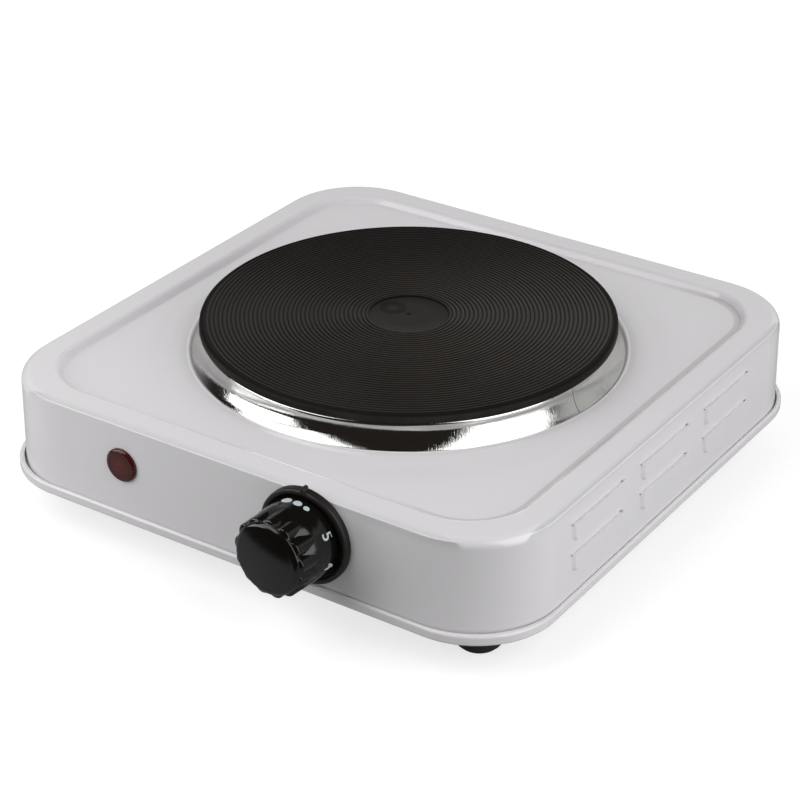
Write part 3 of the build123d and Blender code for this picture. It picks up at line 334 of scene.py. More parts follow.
def moulded(name, colour, lighter, roughness, texture_scale, texture_depth, coat=0.0, shine=0.5):
    """Moulded plastic, rubber or sleeving, with its grain and faint handling marks."""
    material, n = new_finish(name)
    place = n.place()
    cloud = n.noise(place, 60.0, 4.0)
    grain = n.noise(place, texture_scale, 3.0)
    n.surface(
        {
            "Base Color": n.mix(cloud, rgb(*colour), rgb(*lighter)),
            "Roughness": roughness * 0.85 + cloud * (roughness * 0.3),
            "Normal": n.bump(grain, texture_depth, 0.4),
            "Specular IOR Level": shine,
            "Coat Weight": coat,
            "Coat Roughness": 0.06,
        }
    )
    return material


def plated(name, colour, wear_and_light_tone, roughness, brushing):
    """Plated or bare metal with rolling marks along one direction."""
    material, n = new_finish(name)
    place = n.place()
    cloud = n.noise(place, 80.0, 4.0)
    rolled = n.noise(n.vector("MULTIPLY", place, brushing), 1.0, 3.0)
    n.surface(
        {
            "Base Color": n.mix(cloud.between(0.35, 0.75), rgb(*colour), rgb(*wear_and_light_tone)),
            "Metallic": 1.0,
            "Roughness": roughness + rolled * 0.12,
            "Normal": n.bump(rolled, 0.00003, 0.25),
        }
    )
    return material


def lens_red():
    """Dark red lamp cap: clear and glossy, its moulded rings showing through and its centre
    coloured lighter as painted light.
    """
    material, n = new_finish("lens_red")
    place = n.place()
    turn, radius, _ = n.cylinder(place, LAMP, (math.pi / 2, 0, 0))
    border = radius.between(4.7 * MM, 5.3 * MM)
    ring = radius.between(3.9 * MM, 4.3 * MM) * (1 - radius.between(4.5 * MM, 4.9 * MM))
    facets = (turn * 24.0).math_of("SINE")
    cloud = n.noise(place, 500.0, 3.0)
    core = 1 - radius.between(0.6 * MM, 3.2 * MM)
    tone = n.mix(cloud, rgb(0.045, 0.0055, 0.0050), rgb(0.080, 0.0100, 0.0085))
    # Painted light: the middle of the cap is coloured lighter.
    painted_light_centre = n.mix(core * 0.5, tone, rgb(0.110, 0.0200, 0.0150))
    edged = n.mix(border * 0.5, painted_light_centre, rgb(0.045, 0.005, 0.0045))
    n.surface(
        {
            "Base Color": n.mix(ring * 0.75, edged, rgb(0.016, 0.007, 0.005)),
            "Roughness": 0.10 + cloud * 0.05,
            "Normal": n.bump(facets * ring + cloud * 0.4, 0.00006, 0.35),
            "Specular IOR Level": 0.30,
            "Coat Weight": 0.12,
            "Coat Roughness": 0.03,
        }
    )
    return material


def dial_ink():
    """Pale screen-printed ink, with slight wear."""
    material, n = new_finish("dial_ink")
    place = n.place()
    wear = n.noise(place, 1400.0, 3.0)
    n.surface(
        {
            "Base Color": n.mix(wear, rgb(0.40, 0.46, 0.49), rgb(0.56, 0.63, 0.66)),
            "Roughness": 0.38 + wear * 0.12,
            "Normal": n.bump(wear, 0.00001, 0.3),
        }
    )
    return material


# ---------------------------------------------------------------- shaping
def finished(name, shape, body, material, smooth=35.0, replaces=()):
    """Turn a bmesh into a piece that rides on a body and stands for CAD nodes."""
    bmesh.ops.remove_doubles(shape, verts=shape.verts, dist=1e-7)
    bmesh.ops.recalc_face_normals(shape, faces=shape.faces)
    mesh = bpy.data.meshes.new(name)
    shape.to_mesh(mesh)
    shape.free()
    mesh.shade_smooth()
    mesh.set_sharp_from_angle(angle=math.radians(smooth))
    mesh.materials.append(material)
    piece = bpy.data.objects.new(name, mesh)
    bpy.context.scene.collection.objects.link(piece)
    if replaces:
        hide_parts(*replaces)
    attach(piece, body)
    return piece


def lathe(profile, steps, closed=False):
    """Spin a profile of (radius, height) points once round the Z axis."""
    shape = bmesh.new()
    points = [shape.verts.new((radius, 0, height)) for radius, height in profile]
    pairs = list(zip(points, points[1:]))
    if closed:
        pairs.append((points[-1], points[0]))
    wire = [shape.edges.new(pair) for pair in pairs]
    bmesh.ops.spin(
        shape,
        geom=points + wire,
        cent=CENTRE,
        axis=UP,
        dvec=CENTRE,
        angle=math.tau,
        steps=steps,
        use_merge=True,
        use_duplicate=False,
    )
    return shape


def rounded(shape, edges, offset, segments):
    """Round some edges of a shape."""
    bmesh.ops.bevel(
        shape,
        geom=edges,
        offset=offset,
        affect="EDGES",
        segments=segments,
        profile=0.5,
        material=-1,
    )


def laid_forward(shape, origin):
    """Lay a lathed shape on its back, so that its height runs forward, and put it in place."""
    lay = Matrix.Rotation(math.pi / 2, 3, "X")
    bmesh.ops.rotate(shape, cent=CENTRE, matrix=lay, verts=shape.verts)
    bmesh.ops.translate(shape, verts=shape.verts, vec=origin)


# ---------------------------------------------------------------- places, from the frame
plate_low, plate_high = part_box("hot_plate")
PLATE_TOP = plate_high.z
PLATE_R = plate_high.x
ring_low, ring_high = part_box("trim_ring")
RING_FOOT_R = ring_high.x - 1.3 * MM
RING_FOOT_Z = ring_low.z
RING_TOP_Z = ring_high.z
knob_low, knob_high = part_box("knob")
KNOB = Vector(((knob_low.x + knob_high.x) / 2, knob_high.y, (knob_low.z + knob_high.z) / 2))
KNOB_DEEP = knob_high.y - knob_low.y
lamp_low, lamp_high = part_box("lamp_lens")
LAMP = Vector(((lamp_low.x + lamp_high.x) / 2, lamp_low.y, (lamp_low.z + lamp_high.z) / 2))

# Housing: the top edge, the sunk panel inside its step, and the louvres in the side walls.
HOUSING_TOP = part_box("top_housing")[1].z
PANEL_Z = HOUSING_TOP - 2.3 * MM
PANEL_CORNER_R = 23.0 * MM
PANEL_CORNER = 96.8 * MM - PANEL_CORNER_R
EDGE_START = 107.1 * MM
EDGE_FOOT = HOUSING_TOP - 3.6 * MM
WALL_X = 110.0 * MM
LOUVRE_LONG = 36.0 * MM
LOUVRE_MID_Y = -4.6 * MM
LOUVRE_PITCH_Y = 46.7 * MM
LOUVRE_TOP_Z = 46.3 * MM
LOUVRE_PITCH_Z = 11.8 * MM
LOUVRES_FOOT = 22.0 * MM
LOUVRES_END = 76.0 * MM

# A mark left by use, where painted shade and painted sheen fall, and the seam's place, for the
# finishes.
SCORCH = (-8.1 * MM, 1.5 * MM, 0)
SHEEN_MIDDLE = (45 * MM, 20 * MM, 0)
RING_SHADE_FROM = 82 * MM
RING_SHADE_TO = 92 * MM
SEAM_TURN = math.radians(-8.0)

# ---------------------------------------------------------------- ribbed cooking plate
RIDGES = 37
RIDGE_START = 16.9 * MM
RIDGE_PITCH = 1.6 * MM
RIDGE_DEEP = 0.32 * MM
DISH_R = 15.8 * MM
DISH_DEEP = 0.6 * MM
SKIRT_Z = RING_TOP_Z + 0.05 * MM
SPIGOT_R = PLATE_R - 2.6 * MM
HOLLOW_R = PLATE_R - 7.0 * MM
HOLLOW_TOP = PLATE_TOP - 6.5 * MM

ridge_profile = []
for ridge in range(RIDGES):
    crest = RIDGE_START + ridge * RIDGE_PITCH
    ridge_profile += [
        (crest - 0.50 * RIDGE_PITCH, PLATE_TOP - RIDGE_DEEP),
        (crest - 0.30 * RIDGE_PITCH, PLATE_TOP - 0.45 * RIDGE_DEEP),
        (crest - 0.12 * RIDGE_PITCH, PLATE_TOP - 0.06 * RIDGE_DEEP),
        (crest + 0.12 * RIDGE_PITCH, PLATE_TOP - 0.06 * RIDGE_DEEP),
        (crest + 0.30 * RIDGE_PITCH, PLATE_TOP - 0.45 * RIDGE_DEEP),
    ]
plate_profile = [
    (0, PLATE_TOP - DISH_DEEP - 0.35 * MM),
    (0.5 * MM, PLATE_TOP - DISH_DEEP - 0.25 * MM),
    (0.9 * MM, PLATE_TOP - DISH_DEEP - 0.02 * MM),
    (1.4 * MM, PLATE_TOP - DISH_DEEP),
    (8.0 * MM, PLATE_TOP - DISH_DEEP),
    (DISH_R - 1.3 * MM, PLATE_TOP - DISH_DEEP),
    (DISH_R - 1.05 * MM, PLATE_TOP - 0.92 * DISH_DEEP),
    (DISH_R - 0.45 * MM, PLATE_TOP - 0.12 * DISH_DEEP),
    (DISH_R - 0.2 * MM, PLATE_TOP),
    *ridge_profile,
    (PLATE_R - 2.15 * MM, PLATE_TOP - 0.34 * MM),
    (PLATE_R - 1.8 * MM, PLATE_TOP - 0.12 * MM),
    (PLATE_R - 1.3 * MM, PLATE_TOP - 0.10 * MM),
    (PLATE_R - 0.75 * MM, PLATE_TOP - 0.28 * MM),
    (PLATE_R - 0.3 * MM, PLATE_TOP - 0.68 * MM),
    (PLATE_R - 0.07 * MM, PLATE_TOP - 1.2 * MM),
    (PLATE_R, PLATE_TOP - 1.8 * MM),
    (PLATE_R, SKIRT_Z + 0.3 * MM),
    (PLATE_R - 0.3 * MM, SKIRT_Z),
    (SPIGOT_R, SKIRT_Z),
    (SPIGOT_R, plate_low.z),
    (HOLLOW_R, plate_low.z),
    (HOLLOW_R, HOLLOW_TOP),
    (0, HOLLOW_TOP),
]
iron = cast_iron()
finished("ribbed_plate", lathe(plate_profile, 224), "chassis", iron, 50.0, ["hot_plate"])

# ---------------------------------------------------------------- chrome trim ring
RING_T = 0.5 * MM
RING_BEND = 0.9 * MM
RING_TOP_R = RING_FOOT_R - 4.1 * MM
SEAM_STEP = 0.05 * MM
SEAM_EASE = math.radians(50.0)

foot_point = Vector((RING_FOOT_R, RING_FOOT_Z))
top_point = Vector((RING_TOP_R, RING_TOP_Z - 0.5 * MM))
chord = top_point - foot_point
inward = Vector((-chord.y, chord.x)).normalized()
flare = []
for step in range(13):
    along = step / 12
    hollow = 4 * RING_BEND * along * (1 - along)
    flare.append(foot_point + chord * along + inward * hollow)
shoulder = [
    Vector((RING_TOP_R - 0.12 * MM, RING_TOP_Z - 0.2 * MM)),
    Vector((RING_TOP_R - 0.4 * MM, RING_TOP_Z - 0.03 * MM)),
    Vector((RING_TOP_R - 0.9 * MM, RING_TOP_Z)),
    Vector((RING_TOP_R - 1.9 * MM, RING_TOP_Z)),
]
ring_shape = lathe([tuple(point) for point in flare + shoulder], 360)
for vert in ring_shape.verts:
    past = (math.atan2(vert.co.y, vert.co.x) - SEAM_TURN) % math.tau
    lift = SEAM_STEP * max(0.0, 1 - past / SEAM_EASE)
    vert.co.xy *= 1 + lift / vert.co.xy.length
chrome_ring = finished("chrome_ring", ring_shape, "chassis", chrome(), 40.0, ["trim_ring"])
wall = chrome_ring.modifiers.new("wall", "SOLIDIFY")
wall.thickness = RING_T
wall.offset = -1.0

# ---------------------------------------------------------------- enamel round the ring
# Millimetres outside the ring's foot, and above the panel.
SEAT_PROFILE = (
    (-0.70, -0.30),
    (-0.70, 0.05),
    (-0.30, 0.42),
    (0.02, 0.70),
    (0.38, 0.88),
    (0.80, 0.95),
    (1.40, 0.93),
    (2.90, 0.85),
    (4.00, 0.72),
    (5.20, 0.53),
    (6.40, 0.35),
    (7.60, 0.21),
    (8.90, 0.11),
    (10.40, 0.035),
    (12.20, -0.03),
    (12.20, -0.30),
)
seat_points = [(RING_FOOT_R + out * MM, PANEL_Z + rise * MM) for out, rise in SEAT_PROFILE]
white_enamel = enamel()
finished("ring_seat", lathe(seat_points, 240, closed=True), "chassis", white_enamel, 50.0)

# ---------------------------------------------------------------- louvre cuts
# Each cut is almost closed: its edges part only at the rear end.
CUT_OPEN = 3.4 * MM
STRIP_SIZE = (1.3 * MM, LOUVRE_LONG - CUT_OPEN, 0.5 * MM)
STRIP_BELOW = 0.20 * MM
STRIP_OUT = 0.05 * MM
STRIP_FORWARD = 1.5 * MM
STRIP_EDGE = 0.1 * MM
WALL_TOP_X = 110.7 * MM
WALL_FLARE = 0.66 / 38.7


def louvre_seam(side, column, row):
    """The strip of sheet that closes one louvre's cut."""
    cut_z = LOUVRE_TOP_Z - row * LOUVRE_PITCH_Z
    face_x = WALL_TOP_X + WALL_FLARE * (HOUSING_TOP - cut_z)
    mid_y = LOUVRE_MID_Y + (column - 1) * LOUVRE_PITCH_Y - STRIP_FORWARD
    strip = bmesh.new()
    bmesh.ops.create_cube(strip, size=1.0)
    bmesh.ops.scale(strip, vec=STRIP_SIZE, verts=strip.verts)
    rounded(strip, strip.edges[:], STRIP_EDGE, 2)
    middle = (side * (face_x + STRIP_OUT), mid_y, cut_z - STRIP_BELOW)
    bmesh.ops.translate(strip, verts=strip.verts, vec=middle)
    wall_name = "left" if side < 0 else "right"
    finished(f"louvre_seam_{wall_name}_{column}_{row}", strip, "chassis", white_enamel)


for side in (-1, 1):
    for column in range(3):
        for row in range(2):
            louvre_seam(side, column, row)

# ---------------------------------------------------------------- bezel behind the knob
BEZEL_BEHIND = 1.0 * MM
BEZEL = Vector((KNOB.x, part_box("knob_bezel")[1].y - BEZEL_BEHIND, KNOB.z))
BEZEL_R = 17.85 * MM
BEZEL_INSIDE_R = 15.9 * MM
BEZEL_HOLE_R = 5.2 * MM
BEZEL_DEEP = 2.0 * MM
BEZEL_FLOOR = 1.2 * MM
NIB_FOOT_R = 16.9 * MM
NIB_TIP_R = 19.4 * MM
NIB_W = 2.3 * MM
NIB_DEEP = 2.7 * MM
NIB_BEHIND = 0.6 * MM
NIB_EDGE = 0.35 * MM
NIB_LEAN = Matrix.Rotation(math.radians(-1.5), 3, "Z")

bezel_shape = lathe(
    [
        (BEZEL_HOLE_R, -BEZEL_BEHIND),
        (BEZEL_HOLE_R, BEZEL_FLOOR),
        (BEZEL_INSIDE_R - 0.2 * MM, BEZEL_FLOOR),
        (BEZEL_INSIDE_R, BEZEL_FLOOR + 0.2 * MM),
        (BEZEL_INSIDE_R + 0.05 * MM, BEZEL_DEEP - 0.15 * MM),
        (BEZEL_INSIDE_R + 0.2 * MM, BEZEL_DEEP),
        (BEZEL_R - 0.75 * MM, BEZEL_DEEP),
        (BEZEL_R - 0.35 * MM, BEZEL_DEEP - 0.12 * MM),
        (BEZEL_R - 0.08 * MM, BEZEL_DEEP - 0.45 * MM),
        (BEZEL_R, BEZEL_DEEP - 0.9 * MM),
        (BEZEL_R, -BEZEL_BEHIND),
    ],
    144,
    closed=True,
)
nib = bmesh.ops.create_cube(bezel_shape, size=1.0)["verts"]
nib_size = (NIB_W, NIB_TIP_R - NIB_FOOT_R, NIB_DEEP + NIB_BEHIND)
bmesh.ops.scale(bezel_shape, vec=nib_size, verts=nib)
tip = [vert for vert in nib if vert.co.y > 0]
bmesh.ops.scale(bezel_shape, vec=(0.5, 1, 0.97), verts=tip)
nib_place = (0, (NIB_FOOT_R + NIB_TIP_R) / 2, (NIB_DEEP - NIB_BEHIND) / 2)
bmesh.ops.translate(bezel_shape, verts=nib, vec=nib_place)
bmesh.ops.rotate(bezel_shape, cent=CENTRE, matrix=NIB_LEAN, verts=nib)
nib_edges = [edge for edge in bezel_shape.edges if edge.verts[0] in nib]
rounded(bezel_shape, nib_edges, NIB_EDGE, 3)
laid_forward(bezel_shape, BEZEL)
matte = moulded(
    "black_matte",
    (0.0075, 0.0062, 0.0052),
    (0.012, 0.0104, 0.009),
    roughness=0.46,
    texture_scale=1800.0,
    texture_depth=0.00004,
    shine=0.36,
)
finished("dial_bezel", bezel_shape, "chassis", matte, 50.0, ["knob_bezel"])

# ---------------------------------------------------------------- lobed control knob
# Depths are measured forward from the back of the knob, which is lathed upright and then laid
# on its axis.
LOBES = 13
LOBE_STEPS = 20
LOBE_R = 3.3 * MM
SKIRT_BACK = 0.5 * MM
SKIRT_BACK_R = 15.1 * MM
SKIRT_FRONT_R = 14.7 * MM
SKIRT_FRONT = 7.2 * MM
SKIRT_T = 1.7 * MM
LOBE_FRONT = 17.6 * MM
LOBE_FRONT_R = 14.5 * MM
LOBE_END = KNOB_DEEP - 2.15 * MM
VALLEY_R = 12.35 * MM
VALLEY_FRONT = 16.8 * MM
VALLEY_BACK = 8.2 * MM
CROWN_R = 11.2 * MM
CROWN_DROP = 0.8 * MM
CROWN_EDGE_DEEP = 1.7 * MM
CROWN_EDGE_R = 13.3 * MM
SKIRT_INSIDE_R = SKIRT_BACK_R - SKIRT_T
SKIRT_INSIDE = SKIRT_FRONT - SKIRT_T
GRIP_INSIDE_R = 10.3 * MM
GRIP_INSIDE = 17.2 * MM
HUB_R = 6.3 * MM
HUB_BACK = 0.8 * MM
SPINDLE_R = 4.3 * MM
SPINDLE_END = 14.8 * MM
# The knob is a loose push fit: it sits on its spindle tipped up and to the left.
LEAN = Matrix.Rotation(math.radians(2.8), 3, (-1, 0, -1))
LEAN_FROM = KNOB + Vector((0, 5.4 * MM, 0))

knob_profile = []
for step in range(11):
    reach = step / 10
    knob_profile.append((CROWN_R * reach, KNOB_DEEP - CROWN_DROP * reach * reach))
for step in range(1, 10):
    bend = math.radians(8.5 * step)
    knob_profile.append(
        (
            CROWN_R + (CROWN_EDGE_R - CROWN_R) * math.sin(bend),
            KNOB_DEEP - CROWN_DROP - CROWN_EDGE_DEEP * (1 - math.cos(bend)),
        )
    )
# Rings close together behind the crown round off the lobes' front ends.
for below in (0, 0.05, 0.12, 0.22, 0.34, 0.48, 0.66):
    knob_profile.append((CROWN_EDGE_R, LOBE_END - below * MM))
knob_profile += [(13.1 * MM, 17.35 * MM), (12.6 * MM, 17.1 * MM)]
for step in range(17):
    share = step / 16
    knob_profile.append(
        (
            VALLEY_R + (SKIRT_FRONT_R - VALLEY_R) * (1 - (1 - share) ** 1.6),
            VALLEY_FRONT + (VALLEY_BACK - VALLEY_FRONT) * share,
        )
    )
knob_profile.append((SKIRT_FRONT_R, SKIRT_FRONT))
knob_profile += [
    (SKIRT_FRONT_R + 0.03 * MM, SKIRT_FRONT - 1.0 * MM),
    (SKIRT_BACK_R, SKIRT_BACK + 0.3 * MM),
    (SKIRT_BACK_R - 0.09 * MM, SKIRT_BACK + 0.09 * MM),
    (SKIRT_BACK_R - 0.3 * MM, SKIRT_BACK),
    (SKIRT_INSIDE_R, SKIRT_BACK),
    (SKIRT_INSIDE_R, SKIRT_INSIDE),
    (GRIP_INSIDE_R, SKIRT_INSIDE),
    (GRIP_INSIDE_R, GRIP_INSIDE),
    (HUB_R, GRIP_INSIDE),
    (HUB_R, HUB_BACK),
    (SPINDLE_R, HUB_BACK),
    (SPINDLE_R, SPINDLE_END),
    (0, SPINDLE_END),
]


def lobe_crest(depth):
    """Radius of the lobes' crests at a depth: a slight taper, then a rounded front end."""
    if depth <= LOBE_FRONT:
        share = (depth - SKIRT_FRONT) / (LOBE_FRONT - SKIRT_FRONT)
        return SKIRT_FRONT_R + (LOBE_FRONT_R - SKIRT_FRONT_R) * share
    share = (depth - LOBE_FRONT) / (LOBE_END - LOBE_FRONT)
    return CROWN_EDGE_R + (LOBE_FRONT_R - CROWN_EDGE_R) * math.sqrt(max(0.0, 1 - share * share))


knob_shape = lathe(knob_profile, LOBES * LOBE_STEPS)
lobe_pitch = math.tau / LOBES
for vert in knob_shape.verts:
    radius, depth = vert.co.xy.length, vert.co.z
    if SKIRT_FRONT < depth < LOBE_END and radius > CROWN_R:
        turn = math.atan2(vert.co.x, vert.co.y)
        aside = (turn + lobe_pitch / 2) % lobe_pitch - lobe_pitch / 2
        middle = lobe_crest(depth) - LOBE_R
        reach = math.sqrt(LOBE_R**2 - (middle * math.sin(aside)) ** 2)
        lobe_r = middle * math.cos(aside) + reach
        vert.co.xy *= max(lobe_r, radius) / radius
laid_forward(knob_shape, KNOB)
bmesh.ops.rotate(knob_shape, cent=LEAN_FROM, matrix=LEAN, verts=knob_shape.verts)
gloss = moulded(
    "black_gloss",
    (0.0036, 0.0032, 0.0028),
    (0.0062, 0.0056, 0.005),
    roughness=0.14,
    texture_scale=300.0,
    texture_depth=0.000008,
    shine=0.42,
)
finished("lobed_knob", knob_shape, "dial", gloss, 60.0, ["knob"])

# ---------------------------------------------------------------- dial marks on the knob
INK = 0.03 * MM
SLICE = 0.4 * MM


def onto_skirt(shape, turn, middle):
    """Wrap a flat shape round the knob's skirt: its X runs clockwise, its Y to the wall."""
    for vert in shape.verts:
        ahead = middle - vert.co.y
        share = ahead / SKIRT_FRONT
        skirt_r = SKIRT_BACK_R + (SKIRT_FRONT_R - SKIRT_BACK_R) * share
        angle = math.radians(turn) + vert.co.x / SKIRT_BACK_R
        radius = skirt_r + vert.co.z
        vert.co = KNOB + Vector((radius * math.sin(angle), -ahead, radius * math.cos(angle)))
    bmesh.ops.rotate(shape, cent=LEAN_FROM, matrix=LEAN, verts=shape.verts)


def sliced(shape, half_width):
    """Cut a flat shape across its width so that it can bend."""
    cuts = int(half_width / SLICE)
    for cut in range(-cuts, cuts + 1):
        bmesh.ops.bisect_plane(
            shape,
            geom=shape.verts[:] + shape.edges[:] + shape.faces[:],
            dist=1e-8,
            plane_co=(cut * SLICE, 0, 0),
            plane_no=(1, 0, 0),
        )


def thickened(shape):
    """Give a flat shape the thickness of the ink."""
    made = bmesh.ops.extrude_face_region(shape, geom=shape.faces[:])
    lifted = [part for part in made["geom"] if isinstance(part, bmesh.types.BMVert)]
    bmesh.ops.translate(shape, verts=lifted, vec=(0, 0, INK))


ink = dial_ink()
# Each dot's place round the dial in degrees, depth ahead of the knob's back, width and half height.
DOTS = ((-13.6, 4.0, 4.2, 1.45), (4.0, 3.9, 3.4, 1.30), (18.4, 3.9, 2.3, 1.0))
for number, (turn, ahead, width, half_height) in enumerate(DOTS):
    dot = bmesh.new()
    bmesh.ops.create_circle(dot, cap_ends=True, segments=32, radius=0.5 * MM)
    bmesh.ops.scale(dot, vec=(width, 2 * half_height, 1), verts=dot.verts)
    sliced(dot, width * MM / 2)
    thickened(dot)
    onto_skirt(dot, turn, ahead * MM)
    finished(f"dial_dot_{number}", dot, "dial", ink)

DIGITS = {"5": 63.3, "4": 107.5, "3": 151.7, "2": 195.9, "1": 240.1, "0": 284.3}
DIGIT_AHEAD = 3.95 * MM
DIGIT_HIGH = 4.5 * MM
DIGIT_SHARE = 0.72  # of the type size
DIGIT_BOLDER = 0.08 * MM
for digit, turn in DIGITS.items():
    letter = bpy.data.curves.new(f"digit_{digit}", "FONT")
    letter.body = digit
    letter.align_x = "CENTER"
    letter.align_y = "CENTER"
    letter.size = DIGIT_HIGH / DIGIT_SHARE
    letter.offset = DIGIT_BOLDER
    letter.resolution_u = 6
    holder = bpy.data.objects.new(f"digit_{digit}", letter)
    bpy.context.scene.collection.objects.link(holder)
    bpy.context.view_layer.update()
    flat = bpy.data.meshes.new_from_object(
        holder.evaluated_get(bpy.context.evaluated_depsgraph_get())
    )
    bpy.data.objects.remove(holder)
    figure = bmesh.new()
    figure.from_mesh(flat)
    bpy.data.meshes.remove(flat)
    bmesh.ops.remove_doubles(figure, verts=figure.verts, dist=1e-6)
    sliced(figure, 2.0 * MM)
    thickened(figure)
    onto_skirt(figure, turn, DIGIT_AHEAD)
    finished(f"dial_digit_{digit}", figure, "dial", ink)

# ---------------------------------------------------------------- finishes on the CAD nodes
NODE_FINISHES = {
    "enamel": white_enamel,
    "cast_iron": iron,
    "chrome": chrome_ring.data.materials[0],
    "zinc_steel": plated(
        "zinc_steel", (0.56, 0.56, 0.55), (0.42, 0.42, 0.40), 0.26, (40, 900, 900)
    ),
    "black_rubber": moulded(
        "black_rubber", (0.011, 0.011, 0.011), (0.024, 0.023, 0.022), 0.62, 900.0, 0.00006
    ),
    "black_gloss": gloss,
    "black_matte": matte,
    "red_lens": lens_red(),
    "bulb_glass": moulded(
        "bulb_glass", (0.55, 0.48, 0.42), (0.70, 0.64, 0.58), 0.08, 400.0, 0.00001, 0.6
    ),
    "ceramic": moulded(
        "ceramic", (0.66, 0.62, 0.52), (0.76, 0.73, 0.65), 0.45, 1500.0, 0.00003
    ),
    "magnesia": moulded(
        "magnesia", (0.42, 0.40, 0.36), (0.56, 0.54, 0.50), 0.8, 2200.0, 0.00012
    ),
    "resistance_wire": plated(
        "resistance_wire", (0.22, 0.20, 0.19), (0.12, 0.10, 0.09), 0.42, (600, 600, 60)
    ),
    "brass": plated("brass", (0.70, 0.50, 0.22), (0.52, 0.36, 0.15), 0.28, (60, 700, 700)),
    "bimetal": plated(
        "bimetal", (0.50, 0.45, 0.37), (0.40, 0.33, 0.26), 0.32, (60, 700, 700)
    ),
    "brown_sleeve": moulded(
        "brown_sleeve", (0.075, 0.027, 0.013), (0.12, 0.045, 0.022), 0.5, 900.0, 0.00004
    ),
    "blue_sleeve": moulded(
        "blue_sleeve", (0.012, 0.045, 0.22), (0.02, 0.07, 0.30), 0.5, 900.0, 0.00004
    ),
    "green_sleeve": moulded(
        "green_sleeve", (0.02, 0.15, 0.03), (0.45, 0.42, 0.03), 0.5, 900.0, 0.00004
    ),
    "white_sleeve": moulded(
        "white_sleeve", (0.62, 0.59, 0.50), (0.72, 0.70, 0.62), 0.75, 3000.0, 0.0001
    ),
}
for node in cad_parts.values():
    for holder in node.material_slots:
        holder.material = NODE_FINISHES[holder.material.name.split(".")[0]]

# ---------------------------------------------------------------- camera
VIEW_AZIMUTH = 33.986
VIEW_ELEVATION = 29.094
VIEW_ROLL = math.radians(-0.057)
VIEW_DISTANCE = 0.84156
VIEW_TARGET = Vector((0.015275, -0.028456, 0.0447))
VIEW_LENS = 104.67
VIEW_SENSOR = 36.0


def bearing(azimuth, elevation):
    """Direction at an angle to the right of the front and above the table, in degrees."""
    az, el = math.radians(azimuth), math.radians(elevation)
    return Vector((math.sin(az) * math.cos(el), -math.cos(az) * math.cos(el), math.sin(el)))


to_camera = bearing(VIEW_AZIMUTH, VIEW_ELEVATION)
lens = bpy.data.cameras.new("camera")
lens.lens = VIEW_LENS
lens.sensor_width = VIEW_SENSOR
camera = bpy.data.objects.new("camera", lens)
camera.location = VIEW_TARGET + to_camera * VIEW_DISTANCE
aim = to_camera.to_track_quat("Z", "Y").to_matrix().to_4x4() @ Matrix.Rotation(VIEW_ROLL, 4, "Z")
camera.rotation_mode = "QUATERNION"
camera.rotation_quaternion = aim.to_quaternion()
bpy.context.scene.collection.objects.link(camera)
bpy.context.scene.camera = camera


# ---------------------------------------------------------------- floor
FLOOR_R = 1.0
FLOOR_MIDDLE = (-0.30, 0.45, 0)
TABLE_END_Y = -0.209
PAPER_START_Y = -0.203


def paper():
    """White paper that shows the object's shadow; the table in front of it reflects dark."""
    material, n = new_finish("paper")
    place = n.place()
    fibre = n.noise(place, 30.0, 3.0)
    behind_front = n.parts(place)[1]
    off_table = behind_front.between(TABLE_END_Y, PAPER_START_Y)
    white = n.mix(fibre, rgb(0.40, 0.40, 0.40), rgb(0.41, 0.41, 0.41))
    tone = n.mix(off_table, rgb(0.02, 0.018, 0.016), white)
    matt = n.add("BsdfDiffuse", None, {"Color": tone})
    seen = n.add("LightPath", out="Is Camera Ray")
    near = 1 - n.radius_from(place, CENTRE).between(0.24, 0.42)
    lift = 1.0 - behind_front.between(-0.19, -0.13) * near * 0.30
    glow = n.add("Emission", None, {"Color": rgb(1, 1, 1), "Strength": lift * seen})
    n.add("OutputMaterial", None, {"Surface": n.add("AddShader", None, {0: matt, 1: glow})})
    return material


floor_shape = bmesh.new()
bmesh.ops.create_circle(floor_shape, cap_ends=True, segments=96, radius=FLOOR_R)
bmesh.ops.translate(floor_shape, verts=floor_shape.verts, vec=FLOOR_MIDDLE)
floor_mesh = bpy.data.meshes.new("floor")
floor_shape.to_mesh(floor_mesh)
floor_shape.free()
floor_mesh.materials.append(paper())
floor = bpy.data.objects.new("floor", floor_mesh)
bpy.context.scene.collection.objects.link(floor)


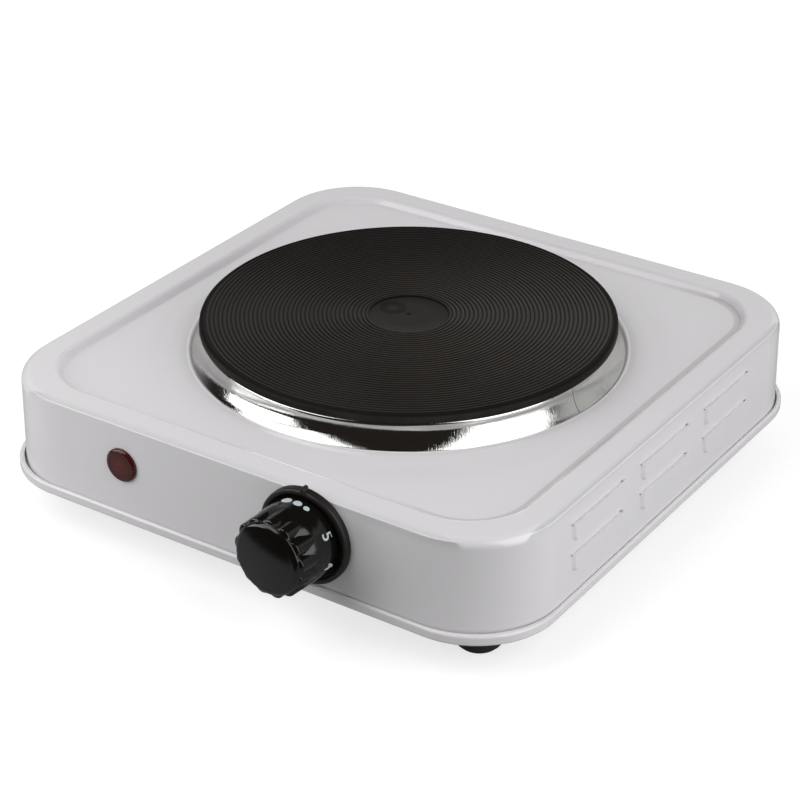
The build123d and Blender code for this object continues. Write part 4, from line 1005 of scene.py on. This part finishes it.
# ---------------------------------------------------------------- lamps and studio walls
def softbox(name, azimuth, elevation, distance, size, power):
    """A rectangular lamp on the side that the angles give, facing the object."""
    away = bearing(azimuth, elevation)
    lamp = bpy.data.lights.new(name, "AREA")
    lamp.shape = "RECTANGLE"
    lamp.size, lamp.size_y = size
    lamp.energy = power
    holder = bpy.data.objects.new(name, lamp)
    holder.location = away * distance + Vector((0, 0, 0.05))
    holder.rotation_mode = "QUATERNION"
    holder.rotation_quaternion = away.to_track_quat("Z", "Y")
    holder.visible_camera = False
    bpy.context.scene.collection.objects.link(holder)


softbox("left_softbox", -35.0, 44.0, distance=1.0, size=(0.84, 0.78), power=6.05)
softbox("right_softbox", 84.0, 26.0, distance=1.0, size=(0.78, 1.20), power=9.1)
softbox("low_card", -42.0, 10.0, distance=0.46, size=(0.30, 0.14), power=0.56)

BACKDROP_WAY = (-0.20, 0.98, 0.0)
FAR_LEFT_WAY = (-0.95, 0.30, 0.0)


def studio():
    """White to the eye; gloss sees a dark room with a pale backdrop behind the object."""
    world = bpy.data.worlds.new("studio")
    world.use_nodes = True
    n = Nodes(world.node_tree)
    direction = n.add("TexCoord", out="Generated")
    behind = n.measure("DOT_PRODUCT", direction, BACKDROP_WAY).between(0.10, 0.34)
    overhead = n.measure("DOT_PRODUCT", direction, UP).between(0.42, 0.58)
    far_left = n.measure("DOT_PRODUCT", direction, FAR_LEFT_WAY).between(0.78, 0.93)
    seen = n.add("LightPath", out="Is Camera Ray")
    mirrored = n.add("LightPath", out="Is Glossy Ray")
    through = n.add("LightPath", out="Is Transmission Ray")
    backdrop = n.mix(far_left * 0.75, rgb(0.55, 0.55, 0.54), rgb(0.12, 0.115, 0.11))
    room = n.mix(behind * (1 - overhead), rgb(0.022, 0.018, 0.016), backdrop)
    fill = n.mix(behind, rgb(0, 0, 0), rgb(0.80, 0.80, 0.80))
    lighting = n.mix(mirrored.math_of("MAXIMUM", through), fill, room)
    sky = n.mix(seen, lighting, rgb(1, 1, 1))
    n.add("OutputWorld", None, {"Surface": n.add("Background", None, {"Color": sky})})
    return world


bpy.context.scene.world = studio()
bpy.context.scene.view_settings.view_transform = "Standard"
